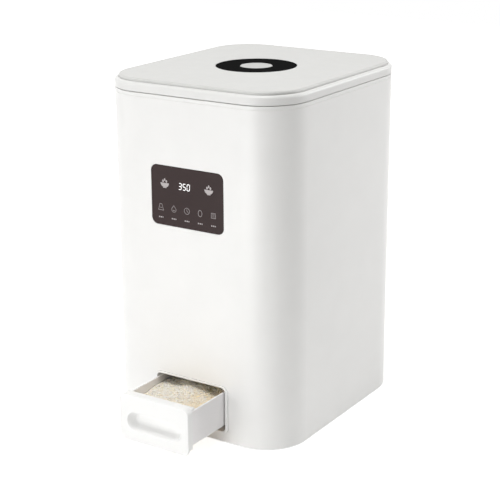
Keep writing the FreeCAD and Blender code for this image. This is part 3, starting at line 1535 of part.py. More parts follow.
def lid_button():
    """Push button: round cap, short skirt, guide stem and the two wedges that draw the latch back."""
    cap = rod(button_radius, Vector(0, 0, button_under), Vector(0, 0, button_top))
    cap = cap.makeFillet(button_edge_round, level_edges(cap, button_top))
    skirt = tube(button_radius, button_radius - button_skirt_wall, Vector(0, 0, button_under - button_skirt),
                 Vector(0, 0, button_under))
    stem = rod(stem_radius, Vector(0, 0, stem_end()), Vector(0, 0, button_under))
    pieces = [cap, skirt, stem]
    wedge_low = slider_low
    ramp_high = wedge_low + button_travel + slider_thickness + 0.2
    outline = [(ramp_start - wedge_tip, button_under), (ramp_start - wedge_tip, wedge_low),
               (ramp_start, wedge_low),
               (ramp_start + ramp_high - wedge_low, ramp_high),
               (ramp_start + ramp_high - wedge_low, button_under)]
    wedge = side_plate(outline, wedge_inner, wedge_inner + wedge_width)
    return fuse_all(pieces + mirrored(wedge))


def stem_end():
    """Lower end of the button's stem, which leaves room for its travel."""
    return liner_floor + 1.2 + button_travel


def button_spring():
    """Coil spring around the liner post that lifts the button."""
    spring = coil(button_spring_radius, button_spring_wire, button_under - liner_floor, 6)
    spring.translate(Vector(0, 0, liner_floor))
    return spring


def lid_liner():
    """Inner lid tray that dips into the hopper mouth, with post, slider rests and drying-agent well."""
    inner_r = liner_radius - liner_wall
    flange = footprint(lid_wall + running_gap, liner_flange_low, liner_high)
    tray = prism(liner_width, liner_depth, liner_radius, liner_low, liner_high, 0, mouth_centre)
    tray = tray.makeFillet(3.0, level_edges(tray, liner_low))
    tray = tray.fuse(flange)
    tray = tray.cut(prism(liner_width - 2 * liner_wall, liner_depth - 2 * liner_wall, inner_r, liner_floor,
                          liner_high + 1, 0, mouth_centre))
    pieces = [tray, rod(stem_radius + pin_gap + post_wall, Vector(0, 0, liner_floor - 0.5),
                        Vector(0, 0, liner_floor + post_height))]
    tray_front = mouth_centre - liner_depth / 2
    pieces.append(block(-1, 1, tray_front + 1, -slider_frame / 2 - 2, liner_floor - 0.5, liner_high))
    for side in (-1, 1):
        x = side * (slider_frame / 2 - 2)
        pieces.append(block(x - 1, x + 1, -slider_frame / 2, slider_frame / 2 + 4, liner_floor - 0.5,
                            liner_high))
    well_top = liner_flange_low
    pieces.append(tube(dryer_neck_radius + 6.8, dryer_neck_radius + 5.0,
                       Vector(0, dryer_offset, liner_floor - 0.5),
                       Vector(0, dryer_offset, well_top)))
    for x, y in lid_boss_places():
        pieces.append(rod(lid_boss_foot, Vector(x, y, liner_floor - 0.5),
                          Vector(x, y, liner_floor + liner_wall)))
    liner = fuse_all(pieces)
    liner = liner.cut(rod(stem_radius + pin_gap, Vector(0, 0, liner_floor + 0.6), Vector(0, 0, liner_high)))
    liner = liner.cut(dryer_keyhole())
    half_slot = leaf_width / 2 + latch_slot_margin
    liner = liner.cut(block(-half_slot, half_slot, slot_front_y(), slot_rear_y(), liner_flange_low - 1,
                            liner_high + 1))
    liner = liner.cut(seal_ring(0.1, liner_flange_low - 1, liner_flange_low + seal_sink))
    for x, y in lid_boss_places():
        liner = liner.cut(rod(screw_radius + fit_gap, Vector(x, y, liner_low - 1),
                              Vector(x, y, liner_floor + 9)))
        liner = liner.cut(rod(screw_head_radius + fit_gap, Vector(x, y, liner_low - 1),
                              Vector(x, y, liner_floor)))
    return liner


def dryer_keyhole():
    """Hole in the liner's floor for the cap's neck, with a notch for each tab."""
    radius = dryer_neck_radius + running_gap
    centre = Vector(0, dryer_offset, liner_low - 1)
    hole = rod(radius, centre, centre + Vector(0, 0, liner_wall + 2))
    for index in range(dryer_tab_count):
        notch = block(0, radius + dryer_tab_reach, -dryer_tab_width / 2 - 1, dryer_tab_width / 2 + 1, 0,
                      liner_wall + 2)
        notch.rotate(Vector(0, 0, 0), Vector(0, 0, 1), 360 / dryer_tab_count * (index + 0.5))
        notch.translate(centre)
        hole = hole.fuse(notch)
    return hole.removeSplitter()


def dryer_cap():
    """Twist-off cap of the drying-agent holder: dished cap with a grip bar, neck and bayonet tabs."""
    centre = Vector(0, dryer_offset, 0)

    def at(z):
        return centre + Vector(0, 0, z)

    cap_high = dryer_cap_low + dryer_cap_thickness
    tab_low = liner_floor + running_gap
    neck_high = tab_low + 2.0
    cap = rod(dryer_neck_radius + dryer_cap_margin, at(dryer_cap_low), at(cap_high))
    cap = cap.makeFillet(0.9, level_edges(cap, dryer_cap_low))
    cap = cap.fuse(tube(dryer_neck_radius, dryer_neck_radius - 2.0, at(cap_high - 0.5), at(neck_high)))
    ring = tube(dryer_neck_radius + dryer_tab_reach, dryer_neck_radius - 1.0, at(tab_low), at(neck_high))
    tabs = []
    for index in range(dryer_tab_count):
        wedge = block(0, dryer_neck_radius + 9, -dryer_tab_width / 2, dryer_tab_width / 2, tab_low, neck_high)
        wedge.rotate(Vector(0, 0, 0), Vector(0, 0, 1), 360 / dryer_tab_count * index)
        wedge.translate(centre)
        tabs.append(ring.common(wedge))
    grip = block(-dryer_neck_radius + 6, dryer_neck_radius - 6, -2, 2, dryer_cap_low - dryer_grip_height,
                 dryer_cap_low + 0.5)
    grip.translate(centre)
    vents = []
    for index in range(dryer_vent_count):
        turn = 2 * math.pi / dryer_vent_count * (index + 0.5)
        place = centre + Vector(dryer_vent_circle * math.cos(turn), dryer_vent_circle * math.sin(turn),
                                dryer_cap_low - 1)
        vents.append(rod(dryer_vent_radius, place, place + Vector(0, 0, dryer_cap_thickness + 2)))
    cap = fuse_all([cap, grip] + tabs)
    for vent in vents:
        cap = cap.cut(vent)
    return cap


def dryer_cartridge():
    """Round cartridge of drying agent lying in the cap, with a ring of breathing slots below."""
    low = dryer_cap_low + dryer_cap_thickness
    high = low + cartridge_height
    drum = rod(cartridge_radius, Vector(0, dryer_offset, low), Vector(0, dryer_offset, high))
    drum = drum.makeFillet(cartridge_edge_round, level_edges(drum, high) + level_edges(drum, low))
    for index in range(cartridge_slot_count):
        slot = block(cartridge_radius * 0.3, cartridge_radius * 0.85, -cartridge_slot_width / 2,
                     cartridge_slot_width / 2, low - 1, low + cartridge_slot_depth)
        slot.rotate(Vector(0, 0, 0), Vector(0, 0, 1), 360 / cartridge_slot_count * index)
        slot.translate(Vector(0, dryer_offset, 0))
        drum = drum.cut(slot)
    return drum


def seal_ring(grow, z_low, z_high):
    """Rounded-rectangle ring that runs over the hopper flange, grown by grow on both sides."""
    outer = seal_offset + seal_width + grow
    inner = seal_offset - grow
    ring = prism(mouth_width + 2 * outer, mouth_depth + 2 * outer, mouth_radius + outer, z_low, z_high, 0,
                 mouth_centre)
    return ring.cut(prism(mouth_width + 2 * inner, mouth_depth + 2 * inner, mouth_radius + inner, z_low - 1,
                          z_high + 1, 0, mouth_centre))


def lid_seal():
    """Silicone seal in the liner's groove, just clear of the hopper flange."""
    seal = seal_ring(0.0, rim_top + running_gap, liner_flange_low + seal_sink)
    return seal.makeFillet(0.5, level_edges(seal, rim_top + running_gap))


def lid_screws():
    """Six screws from inside the lid through the liner into the frame's bosses."""
    return Part.Compound([screw(Vector(x, y, liner_floor), (0, 0, 1), lid_screw_length) for x,
                          y in lid_boss_places()])


# ---------------------------------------------------------------- latch
def latch_spring_seat():
    """Depth at which the latch spring bears on the slider."""
    return slider_frame / 2 + 2.0


def latch_slider():
    """Latch bar: hook at the front, frame around the button with ramps, spring tab at the rear."""
    half = slider_width / 2
    frame_half = slider_frame / 2
    seat = latch_spring_seat()
    bar = block(-half, half, hook_front, -frame_half + 1, slider_low, slider_high)
    frame = block(-frame_half, frame_half, -frame_half, frame_half - 2, slider_low, slider_high)
    tab_half_width = 3.5
    tab = block(-tab_half_width, tab_half_width, frame_half - 3, seat, slider_low, slider_high)
    hook = side_plate([(hook_front, slider_high), (hook_front, hook_low + nose_height),
                       (hook_front - nose_reach, hook_low + nose_height),
                       (hook_front - nose_reach, hook_low + 2.6),
                       (hook_front, hook_low), (hook_front + hook_thickness, hook_low),
                       (hook_front + hook_thickness, slider_high)], -hook_width / 2, hook_width / 2)
    slider = fuse_all([bar, frame, tab, hook])
    ramp_low = ramp_start + running_gap + 0.1
    window_front = -button_spring_radius - button_travel - 1.5
    window_half = wedge_inner + wedge_width + 1.5
    window = block(-window_half, window_half, window_front, ramp_low, slider_low - 1, slider_high + 1)
    spring_bay = block(-button_spring_radius - 1.3, button_spring_radius + 1.3, window_front,
                       button_spring_radius + 2, slider_low - 1, slider_high + 1)
    ramp = side_plate([(ramp_low - 1, slider_low - 1), (ramp_low, slider_low),
                       (ramp_low + slider_thickness + 1, slider_high + 1), (ramp_low - 1, slider_high + 1)],
                      -window_half, window_half)
    pin_length = 5
    pin_z = (slider_low + slider_high) / 2
    pin = rod(latch_spring_radius - latch_spring_wire - 0.4,
              Vector(0, seat - 1, pin_z), Vector(0, seat + pin_length, pin_z))
    return slider.cut(window).cut(spring_bay).cut(ramp).fuse(pin)


def latch_spring():
    """Coil spring that pushes the latch bar forward."""
    spring = coil(latch_spring_radius, latch_spring_wire, latch_spring_length, 7, 8)
    spring.rotate(Vector(0, 0, 0), Vector(1, 0, 0), -90)
    spring.translate(Vector(0, latch_spring_seat(), (slider_low + slider_high) / 2))
    return spring


def catch_spring():
    """Bent steel leaf on the rim; the hook's nose snaps in under its bulge."""
    wall = slot_front_y()
    low = shell_top - rim_spigot_depth + 1
    nose_top = hook_low + nose_height
    bulge = (wall + leaf_bulge, nose_top + 3.0)
    centre_line = [(wall, low), (wall, nose_top + 0.4), bulge, (wall + 0.5, nose_top + 6.0)]
    rear_line = [(y + leaf_thickness, z) for y, z in reversed(centre_line)]
    leaf = side_plate(centre_line + rear_line, -leaf_width / 2, leaf_width / 2)
    for place in stake_places():
        leaf = leaf.cut(rod(stake_radius + pin_gap, place - Vector(0, 1, 0), place + Vector(0, 1, 0)))
    return leaf


def build():
    """Write every node."""
    os.makedirs("parts", exist_ok=True)
    makers = [body_shell, top_rim, hinge_pins, base_tray, rubber_feet, base_screws, rice_hopper,
              outlet_gasket,
              hopper_screws, rotor_housing, housing_cover, housing_screws, shaft_bushes, metering_rotor,
              rotor_shaft,
              rotor_pin, drive_gear, motor_pinion, motor_bracket, motor_screws, gear_motor, drawer_bezel,
              drawer_front, drawer_box, drawer_screws, weigh_cradle, load_cell, load_cell_screws, touch_glass,
              control_board, digit_display, touch_springs, board_screws, battery_holder, battery_cells,
              power_board,
              power_board_screws, charge_port, lid_frame, lid_cover, lid_ring, lid_button, button_spring,
              lid_liner,
              lid_seal, lid_screws, dryer_cap, dryer_cartridge, latch_slider, latch_spring, catch_spring]
    for maker in makers:
        write(maker.__name__, maker())


build()
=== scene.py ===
import json
import math

import bpy
import numpy as np
from mathutils import Matrix, Vector


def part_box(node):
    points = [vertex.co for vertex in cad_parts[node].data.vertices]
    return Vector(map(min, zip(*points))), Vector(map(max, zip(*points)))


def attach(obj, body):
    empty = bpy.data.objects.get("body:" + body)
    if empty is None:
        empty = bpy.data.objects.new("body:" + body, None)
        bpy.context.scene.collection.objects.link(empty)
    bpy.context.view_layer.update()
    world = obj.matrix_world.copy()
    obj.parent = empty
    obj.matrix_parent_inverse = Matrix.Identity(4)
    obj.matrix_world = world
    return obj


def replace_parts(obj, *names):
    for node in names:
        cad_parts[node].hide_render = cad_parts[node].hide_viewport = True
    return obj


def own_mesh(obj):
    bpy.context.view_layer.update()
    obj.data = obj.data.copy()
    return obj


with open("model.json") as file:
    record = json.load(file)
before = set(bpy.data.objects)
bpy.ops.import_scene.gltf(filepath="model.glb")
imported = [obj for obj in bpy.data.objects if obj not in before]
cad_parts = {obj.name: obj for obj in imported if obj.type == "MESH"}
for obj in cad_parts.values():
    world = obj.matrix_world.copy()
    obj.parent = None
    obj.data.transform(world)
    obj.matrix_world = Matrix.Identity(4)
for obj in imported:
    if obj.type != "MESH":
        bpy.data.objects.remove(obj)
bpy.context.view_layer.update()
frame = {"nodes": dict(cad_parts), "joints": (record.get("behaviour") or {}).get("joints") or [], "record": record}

# Rice dispenser: finishes for every carried-over node, a finely turned ring for the lid, wound springs under
# its button, the print and lit figures of the touch panel, and the rice in the drawer. Metres, +Z up,
# front at -Y.

MM = 0.001
TURN = 2 * math.pi


# ---------------------------------------------------------------- surfaces as arrays
def grid_quads(rows, columns, rows_close=False):
    """Quads of a grid numbered row by row, closed along its columns and, if asked, along its rows.

    Quad (i, j) joins points (i, j), (i, j + 1), (i + 1, j + 1) and (i + 1, j), counted round the grid."""
    i = np.arange(rows if rows_close else rows - 1)[:, None] * columns
    j = np.arange(columns)[None, :]
    above = (i + columns) % (rows * columns)
    beside = (j + 1) % columns
    return np.stack([i + j, i + beside, above + beside, above + j], axis=-1).reshape(-1, 4)


class Shells:
    """Closed shells gathered as arrays of points and faces, made into one object."""

    def __init__(self):
        self.points = []
        self.faces = []
        self.count = 0

    def add(self, points, *groups):
        """Adds points and any number of arrays of faces, each numbered within these points."""
        for group in groups:
            self.faces += (np.asarray(group) + self.count).tolist()
        self.points.append(np.reshape(points, (-1, 3)))
        self.count += len(self.points[-1])

    def piece(self, name, body, finish, crease=None):
        """One object that rides on a body; with a crease angle in degrees, smooth but for sharper edges."""
        mesh = bpy.data.meshes.new(name)
        mesh.from_pydata(np.concatenate(self.points).tolist(), [], self.faces)
        mesh.materials.append(finish)
        if crease is not None:
            mesh.polygons.foreach_set("use_smooth", np.ones(len(mesh.polygons), dtype=bool))
            mesh.set_sharp_from_angle(angle=math.radians(crease))
        made = bpy.data.objects.new(name, mesh)
        bpy.context.scene.collection.objects.link(made)
        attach(made, body)
        return made


def arc(centre, radius, start, end, count):
    """Points c + r (cos a, sin a) with a from start to end in degrees."""
    turn = np.radians(np.linspace(start, end, count))
    return np.array(centre) + radius * np.stack([np.cos(turn), np.sin(turn)], axis=-1)


def turned(profile, segments):
    """Ring turned from a closed profile of (r, z) that runs anticlockwise with r to the right.

    Point (i, j) is (r_i cos a_j, r_i sin a_j, z_i) with a_j = 2 pi j / segments."""
    r, z = np.asarray(profile).T[:, :, None]
    turn = np.arange(segments) * TURN / segments
    points = np.stack(np.broadcast_arrays(r * np.cos(turn), r * np.sin(turn), z), axis=-1)
    return points, grid_quads(len(profile), segments, True)


def line_slab(shells, path, width, front, back, closed=False):
    """Flat line along a path of (x, z), as a slab between y = front and y = back.

    Point p of the path gives p + m w / 2 and p - m w / 2, m being the mitre of the normals of its two
    runs divided by the cosine between them; each pair stands at y = front and again at y = back."""
    path = np.asarray(path, float)
    after = np.roll(path, -1, axis=0) - path
    if not closed:
        after[-1] = after[-2]
    after /= np.linalg.norm(after, axis=1, keepdims=True)
    before = np.roll(after, 1, axis=0)
    if not closed:
        before[0] = after[0]
    across = np.stack([-after[:, 1], after[:, 0]], axis=-1)
    mitre = across + np.stack([-before[:, 1], before[:, 0]], axis=-1)
    mitre /= np.linalg.norm(mitre, axis=1, keepdims=True)
    mitre *= width / 2 / np.maximum(0.5, (mitre * across).sum(axis=1, keepdims=True))
    edges = np.stack([path + mitre, path - mitre, path - mitre, path + mitre], axis=1)
    depth = np.broadcast_to([front, front, back, back], edges.shape[:2])
    points = np.stack([edges[..., 0], depth, edges[..., 1]], axis=-1)
    ends = [] if closed else [[[3, 2, 1, 0]], np.arange(4)[None, :] + 4 * (len(path) - 1)]
    shells.add(points, grid_quads(len(path), 4, closed), *ends)


def slabs(shells, outlines, front, back):
    """Slabs between y = front and y = back from outlines (n, k, 2) of (x, z), which run anticlockwise."""
    count, corners = outlines.shape[:2]
    x, z = outlines[..., 0], outlines[..., 1]
    sides = [np.stack([x, np.full_like(x, y), z], axis=-1) for y in (front, back)]
    first = np.arange(count)[:, None] * 2 * corners
    k = np.arange(corners)[None, :]
    on = (k + 1) % corners
    walls = np.stack([first + k, first + corners + k, first + corners + on, first + on], axis=-1)
    shells.add(np.concatenate(sides, axis=1), first + k, first + 2 * corners - 1 - k, walls.reshape(-1, 4))


# ---------------------------------------------------------------- materials
def nodes_of(name):
    """A new node material with its tree and Principled shader."""
    material = bpy.data.materials.new(name)
    material.use_nodes = True
    return material, material.node_tree, material.node_tree.nodes["Principled BSDF"]


def noise(tree, scale, detail, stretch=(1, 1, 1)):
    """Noise in object space, stretched along the axes."""
    place = tree.nodes.new("ShaderNodeTexCoord")
    spread = tree.nodes.new("ShaderNodeMapping")
    spread.inputs["Scale"].default_value = stretch
    texture = tree.nodes.new("ShaderNodeTexNoise")
    texture.inputs["Scale"].default_value = scale
    texture.inputs["Detail"].default_value = detail
    tree.links.new(place.outputs["Object"], spread.inputs["Vector"])
    tree.links.new(spread.outputs["Vector"], texture.inputs["Vector"])
    return texture.outputs["Fac"]


def ranged(tree, value, low, high, start=0.3, end=0.7):
    """The value between start and end mapped to low .. high."""
    node = tree.nodes.new("ShaderNodeMapRange")
    for socket, number in (("From Min", start), ("From Max", end), ("To Min", low), ("To Max", high)):
        node.inputs[socket].default_value = number
    tree.links.new(value, node.inputs["Value"])
    return node.outputs["Result"]


def blended(tree, value, first, second):
    """Colour that goes from first to second with the value; each is a colour or another node's output."""
    node = tree.nodes.new("ShaderNodeMix")
    node.data_type = "RGBA"
    first_colour, second_colour, result = node.inputs[6], node.inputs[7], node.outputs[2]
    tree.links.new(value, node.inputs["Factor"])
    for socket, colour in ((first_colour, first), (second_colour, second)):
        if isinstance(colour, tuple):
            socket.default_value = (*colour, 1)
        else:
            tree.links.new(colour, socket)
    return result


def relief(tree, shader, value, strength, depth):
    """Fine bump from the value."""
    node = tree.nodes.new("ShaderNodeBump")
    node.inputs["Strength"].default_value = strength
    node.inputs["Distance"].default_value = depth
    tree.links.new(value, node.inputs["Height"])
    tree.links.new(node.outputs["Normal"], shader.inputs["Normal"])


def moulded(name, colour, rough, grain=1400.0, strength=0.12, mottle=0.012, coat=0.0, soft=0.0, shine=0.5):
    """Moulded plastic or rubber: fine spark-eroded grain, faint flow mottling and uneven sheen."""
    flow_scale, sheen_scale, sheen_spread = 22.0, 90.0, 0.04
    material, tree, shader = nodes_of(name)
    dark = tuple(c * (1 - mottle) for c in colour)
    light = tuple(min(1.0, c * (1 + mottle)) for c in colour)
    flow = ranged(tree, noise(tree, flow_scale, 3.0), 0.0, 1.0)
    tree.links.new(blended(tree, flow, dark, light), shader.inputs["Base Color"])
    sheen = ranged(tree, noise(tree, sheen_scale, 4.0), rough - sheen_spread, rough + sheen_spread)
    tree.links.new(sheen, shader.inputs["Roughness"])
    shader.inputs["Specular IOR Level"].default_value = shine
    shader.inputs["Coat Weight"].default_value = coat
    shader.inputs["Coat Roughness"].default_value = 0.15
    shader.inputs["Subsurface Weight"].default_value = soft
    shader.inputs["Subsurface Scale"].default_value = 2 * MM
    relief(tree, shader, noise(tree, grain, 2.0), strength, 0.05 * MM)
    return material


def metal(name, colour, rough, stretch=(1, 1, 1), strength=0.2):
    """Bare or plated metal with drawn or turned marks along the stretched axis."""
    material, tree, shader = nodes_of(name)
    shader.inputs["Metallic"].default_value = 1.0
    marks = noise(tree, 900.0, 3.0, stretch)
    dark = tuple(c * 0.88 for c in colour)
    tree.links.new(blended(tree, ranged(tree, marks, 0.0, 1.0), dark, colour), shader.inputs["Base Color"])
    sheen = ranged(tree, noise(tree, 160.0, 3.0), rough - 0.06, rough + 0.08)
    tree.links.new(sheen, shader.inputs["Roughness"])
    relief(tree, shader, marks, strength, 0.03 * MM)
    return material


def dark_glass(name, colour):
    """Tinted panel glass printed behind: smooth, with the faintest unevenness of its sheen."""
    material, tree, shader = nodes_of(name)
    dark = tuple(c * 0.94 for c in colour)
    smear = ranged(tree, noise(tree, 14.0, 2.0), 0.0, 1.0)
    tree.links.new(blended(tree, smear, dark, colour), shader.inputs["Base Color"])
    tree.links.new(ranged(tree, noise(tree, 60.0, 3.0), 0.16, 0.22), shader.inputs["Roughness"])
    shader.inputs["Specular IOR Level"].default_value = 0.2
    relief(tree, shader, noise(tree, 300.0, 1.0), 0.02, 0.02 * MM)
    return material


def board(name, colour, track):
    """Circuit board: solder mask with lighter tracks along the edges of a squared cell pattern."""
    material, tree, shader = nodes_of(name)
    place = tree.nodes.new("ShaderNodeTexCoord")
    cells = tree.nodes.new("ShaderNodeTexVoronoi")
    cells.feature = "DISTANCE_TO_EDGE"
    cells.inputs["Scale"].default_value = 190.0
    cells.inputs["Randomness"].default_value = 0.35
    tree.links.new(place.outputs["Object"], cells.inputs["Vector"])
    line = ranged(tree, cells.outputs["Distance"], 1.0, 0.0, 0.05, 0.07)
    tree.links.new(blended(tree, line, colour, track), shader.inputs["Base Color"])
    tree.links.new(ranged(tree, noise(tree, 120.0, 2.0), 0.32, 0.42), shader.inputs["Roughness"])
    relief(tree, shader, line, 0.15, 0.03 * MM)
    return material


def lit(name, colour, glow):
    """Print or light segment seen through the glass: its own colour plus an even glow."""
    material, tree, shader = nodes_of(name)
    dark = tuple(c * 0.85 for c in colour)
    spread = ranged(tree, noise(tree, 260.0, 2.0), 0.0, 1.0)
    tree.links.new(blended(tree, spread, dark, colour), shader.inputs["Base Color"])
    shader.inputs["Roughness"].default_value = 0.4
    shader.inputs["Emission Color"].default_value = (*colour, 1)
    shader.inputs["Emission Strength"].default_value = glow
    return material


def drawer_finish(name, colour, painted_rice_reflection, inner, top):
    """Drawer plastic: as moulded, with a painted warm reflection of the rice on the walls inside, fading towards
    the rim.

    Inside is where |x| is below inner; the painted reflection is full 20 mm under the rim and gone at its top."""
    fade = 20 * MM
    wall_step = 0.2 * MM
    material = moulded(name, colour, 0.42)
    tree = material.node_tree
    shader = tree.nodes["Principled BSDF"]
    plastic_colour = shader.inputs["Base Color"].links[0].from_socket
    place = tree.nodes.new("ShaderNodeTexCoord")
    parts = tree.nodes.new("ShaderNodeSeparateXYZ")
    tree.links.new(place.outputs["Object"], parts.inputs["Vector"])
    side = tree.nodes.new("ShaderNodeMath")
    side.operation = "ABSOLUTE"
    tree.links.new(parts.outputs["X"], side.inputs[0])
    within = ranged(tree, side.outputs[0], 1.0, 0.0, inner, inner + wall_step)
    under = ranged(tree, parts.outputs["Z"], 1.0, 0.0, top - fade, top)
    both = tree.nodes.new("ShaderNodeMath")
    both.operation = "MULTIPLY"
    tree.links.new(within, both.inputs[0])
    tree.links.new(under, both.inputs[1])
    # Painted warm reflection of the rice: the inner walls below the rim take a tan tint.
    tree.links.new(blended(tree, both.outputs[0], plastic_colour, painted_rice_reflection), shader.inputs["Base Color"])
    return material


def grain_finish(name):
    """Rice: milky white to straw by the mesh's tone, the straw at the rear and right also painting warm shade,
    with chalky streaks and light that sinks in.
    """
    material, tree, shader = nodes_of(name)
    tone = tree.nodes.new("ShaderNodeAttribute")
    tone.attribute_name = "tone"
    hulled, chalky, straw_and_painted_shade = (0.94, 0.885, 0.775), (0.95, 0.92, 0.85), (0.93, 0.72, 0.42)
    milky = blended(tree, ranged(tree, noise(tree, 320.0, 3.0), 0.0, 0.6), hulled, chalky)
    tree.links.new(blended(tree, tone.outputs["Fac"], milky, straw_and_painted_shade), shader.inputs["Base Color"])
    tree.links.new(ranged(tree, noise(tree, 700.0, 2.0), 0.42, 0.56), shader.inputs["Roughness"])
    shader.inputs["Subsurface Weight"].default_value = 0.35
    shader.inputs["Subsurface Scale"].default_value = 2.0 * MM
    shader.inputs["Subsurface Radius"].default_value = (1.0, 0.8, 0.5)
    relief(tree, shader, noise(tree, 1500.0, 2.0), 0.15, 0.04 * MM)
    return material


drawer_low, drawer_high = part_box("drawer_box")
finishes = {
    "white_shell": moulded("shell_white", (0.885, 0.883, 0.868), 0.38, strength=0.08),
    "white_trim": moulded("trim_white", (0.89, 0.89, 0.88), 0.34, strength=0.06),
    "lid_grey": moulded("lid_grey", (0.66, 0.66, 0.642), 0.42, strength=0.12),
    "lid_skirt": moulded("lid_white", (0.81, 0.81, 0.795), 0.36, strength=0.08),
    "ring_black": moulded("ring_black", (0.012, 0.012, 0.012), 0.6, strength=0.05, shine=0.0),
    "touch_glass": dark_glass("panel_glass", (0.035, 0.0195, 0.019)),
    "base_grey": moulded("base_grey", (0.66, 0.66, 0.65), 0.55),
    "foot_rubber": moulded("foot_rubber", (0.42, 0.42, 0.41), 0.75, grain=700.0, strength=0.3),
    "screw_steel": metal("zinc_plated", (0.62, 0.62, 0.63), 0.34),
    "steel": metal("bright_steel", (0.72, 0.72, 0.73), 0.26, (1, 8, 8)),
    "spring_steel": metal("spring_steel", (0.64, 0.64, 0.66), 0.3),
    "hopper_plastic": moulded("hopper_milky", (0.84, 0.85, 0.85), 0.45, soft=0.15),
    # The last colours: the drawer's own plastic, then the painted warm reflection of the rice on its inner walls.
    "drawer_plastic": drawer_finish("drawer_grey_white", (0.90, 0.885, 0.885), (0.96, 0.78, 0.59),
                                    drawer_high.x - 5.0 * MM, drawer_high.z),
    "drive_plastic": moulded("drive_grey", (0.62, 0.63, 0.64), 0.5),
    "rotor_plastic": moulded("rotor_blue_grey", (0.30, 0.40, 0.46), 0.6, soft=0.1),
    "gear_plastic": moulded("acetal_natural", (0.80, 0.78, 0.70), 0.35, soft=0.2),
    "bush_plastic": moulded("bush_dark", (0.09, 0.09, 0.095), 0.5),
    "motor_steel": metal("motor_can", (0.58, 0.58, 0.59), 0.32, (8, 1, 1)),
    "silicone": moulded("silicone", (0.74, 0.74, 0.73), 0.5, soft=0.4),
    "cell_aluminium": metal("milled_aluminium", (0.78, 0.79, 0.80), 0.3, (1, 10, 1)),
    "board_green": board("solder_mask", (0.015, 0.11, 0.05), (0.05, 0.22, 0.10)),
    "display_black": moulded("black_plastic", (0.02, 0.02, 0.02), 0.45),
    "cell_wrap": moulded("cell_wrap", (0.07, 0.18, 0.42), 0.28, coat=0.3),
    "brass": metal("brass", (0.74, 0.55, 0.24), 0.3, (8, 1, 1)),
    "cartridge_plastic": moulded("cartridge_white", (0.86, 0.86, 0.84), 0.5, strength=0.2),
}
own_finish = {"lid_button": moulded("button_grey", (0.53, 0.53, 0.515), 0.42, strength=0.12)}
slot_of = {part["node"]: part["material_slot"] for part in frame["record"]["subparts"]}


def coat_nodes():
    """Gives every carried-over node the finish of its slot."""
    for name, node in frame["nodes"].items():
        node.data.materials.clear()
        node.data.materials.append(own_finish.get(name, finishes[slot_of[name]]))


# ---------------------------------------------------------------- lid ring
def lid_ring_piece():
    """Black ring with rounded rims, a bore with a running gap round the button, and its sleeve."""
    running_gap, sleeve_wall, thickness, edge = 0.3 * MM, 1.7 * MM, 1.2 * MM, 0.45 * MM
    low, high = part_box("lid_ring")
    _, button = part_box("lid_button")
    bore = button.x + running_gap
    sleeve = bore + sleeve_wall
    under = high.z - thickness
    profile = np.concatenate([
        [(bore, low.z), (sleeve, low.z), (sleeve, under), (high.x, under)],
        arc((high.x - edge, high.z - edge), edge, 0, 90, 6),
        arc((bore + edge, high.z - edge), edge, 90, 180, 6)])
    ring = Shells()
    ring.add(*turned(profile, 160))
    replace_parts(ring.piece("lid_ring_turned", "lid", finishes["ring_black"], 35), "lid_ring")


# ---------------------------------------------------------------- springs under the button
def coiled(length, radius, wire, turns_made, steps=24, sides=8):
    """Compression spring along Z from the origin, its end turns closed: a circle of the wire along a helix.

    Point (t, a) is (R cos t, R sin t, h(t)) + w (cos a e + sin a b), with e pointing away from the axis and
    b square to e and the wire's run. h rises by about the wire's thickness over each end turn and evenly
    between them."""
    t = np.linspace(0, TURN * turns_made, steps * turns_made + 1)
    end_turn = 3.1 * wire
    bends = [0.0, TURN, t[-1] - TURN, t[-1]]
    height = np.interp(t, bends, [wire, end_turn, length - end_turn, length - wire])
    middle = np.stack([radius * np.cos(t), radius * np.sin(t), height], axis=-1)
    run = np.gradient(middle, axis=0)
    run /= np.linalg.norm(run, axis=1, keepdims=True)
    outward = np.stack([np.cos(t), np.sin(t), np.zeros_like(t)], axis=-1)
    beside = np.cross(run, outward)
    a = (np.arange(sides) * TURN / sides)[None, :, None]
    points = middle[:, None] + wire * (np.cos(a) * outward[:, None] + np.sin(a) * beside[:, None])
    around = np.arange(sides)[None, :]
    return points, grid_quads(len(t), sides), around[:, ::-1], around + sides * (len(t) - 1)


def squeezed_springs():
    """The button's and the latch's springs, each wound to the length and place of its node.

    A row gives the node, its joint, the axis along its length, its fixed end (0 low, 1 high), how the
    coil is laid along that axis, and its wire's radius and turns."""
    upright = np.eye(3)
    lengthways = np.array([(1, 0, 0), (0, 0, 1), (0, -1, 0)])
    springs = (("button_spring", "button_press", 2, 0, upright, 0.4 * MM, 6),
               ("latch_spring", "latch_slide", 1, 1, lengthways, 0.3 * MM, 7))
    for node, joint, axis, fixed_end, lay, wire, turns_made in springs:
        corners = np.array([tuple(corner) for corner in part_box(node)])
        middle = corners.mean(axis=0)
        length = corners[1, axis] - corners[0, axis]
        foot = middle.copy()
        foot[axis] = corners[0, axis]
        points, *faces = coiled(length, corners[1, 0] - wire, wire, turns_made)
        spring = Shells()
        spring.add(points.reshape(-1, 3) @ lay.T + foot, *faces)
        made = spring.piece(node + "_wound", "lid", finishes["spring_steel"], 50)
        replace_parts(made, node)
        anchor = middle.copy()
        anchor[axis] = corners[fixed_end, axis]
        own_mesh(made)


# ---------------------------------------------------------------- touch panel
SEGMENT_ENDS = {"a": (0, 1, 1, 1), "b": (1, 0.5, 1, 1), "c": (1, 0, 1, 0.5), "d": (0, 0, 1, 0),
                "e": (0, 0, 0, 0.5), "f": (0, 0.5, 0, 1), "g": (0, 0.5, 1, 0.5)}
FIGURES = {"0": "abcdef", "3": "abgcd", "5": "afgcd"}


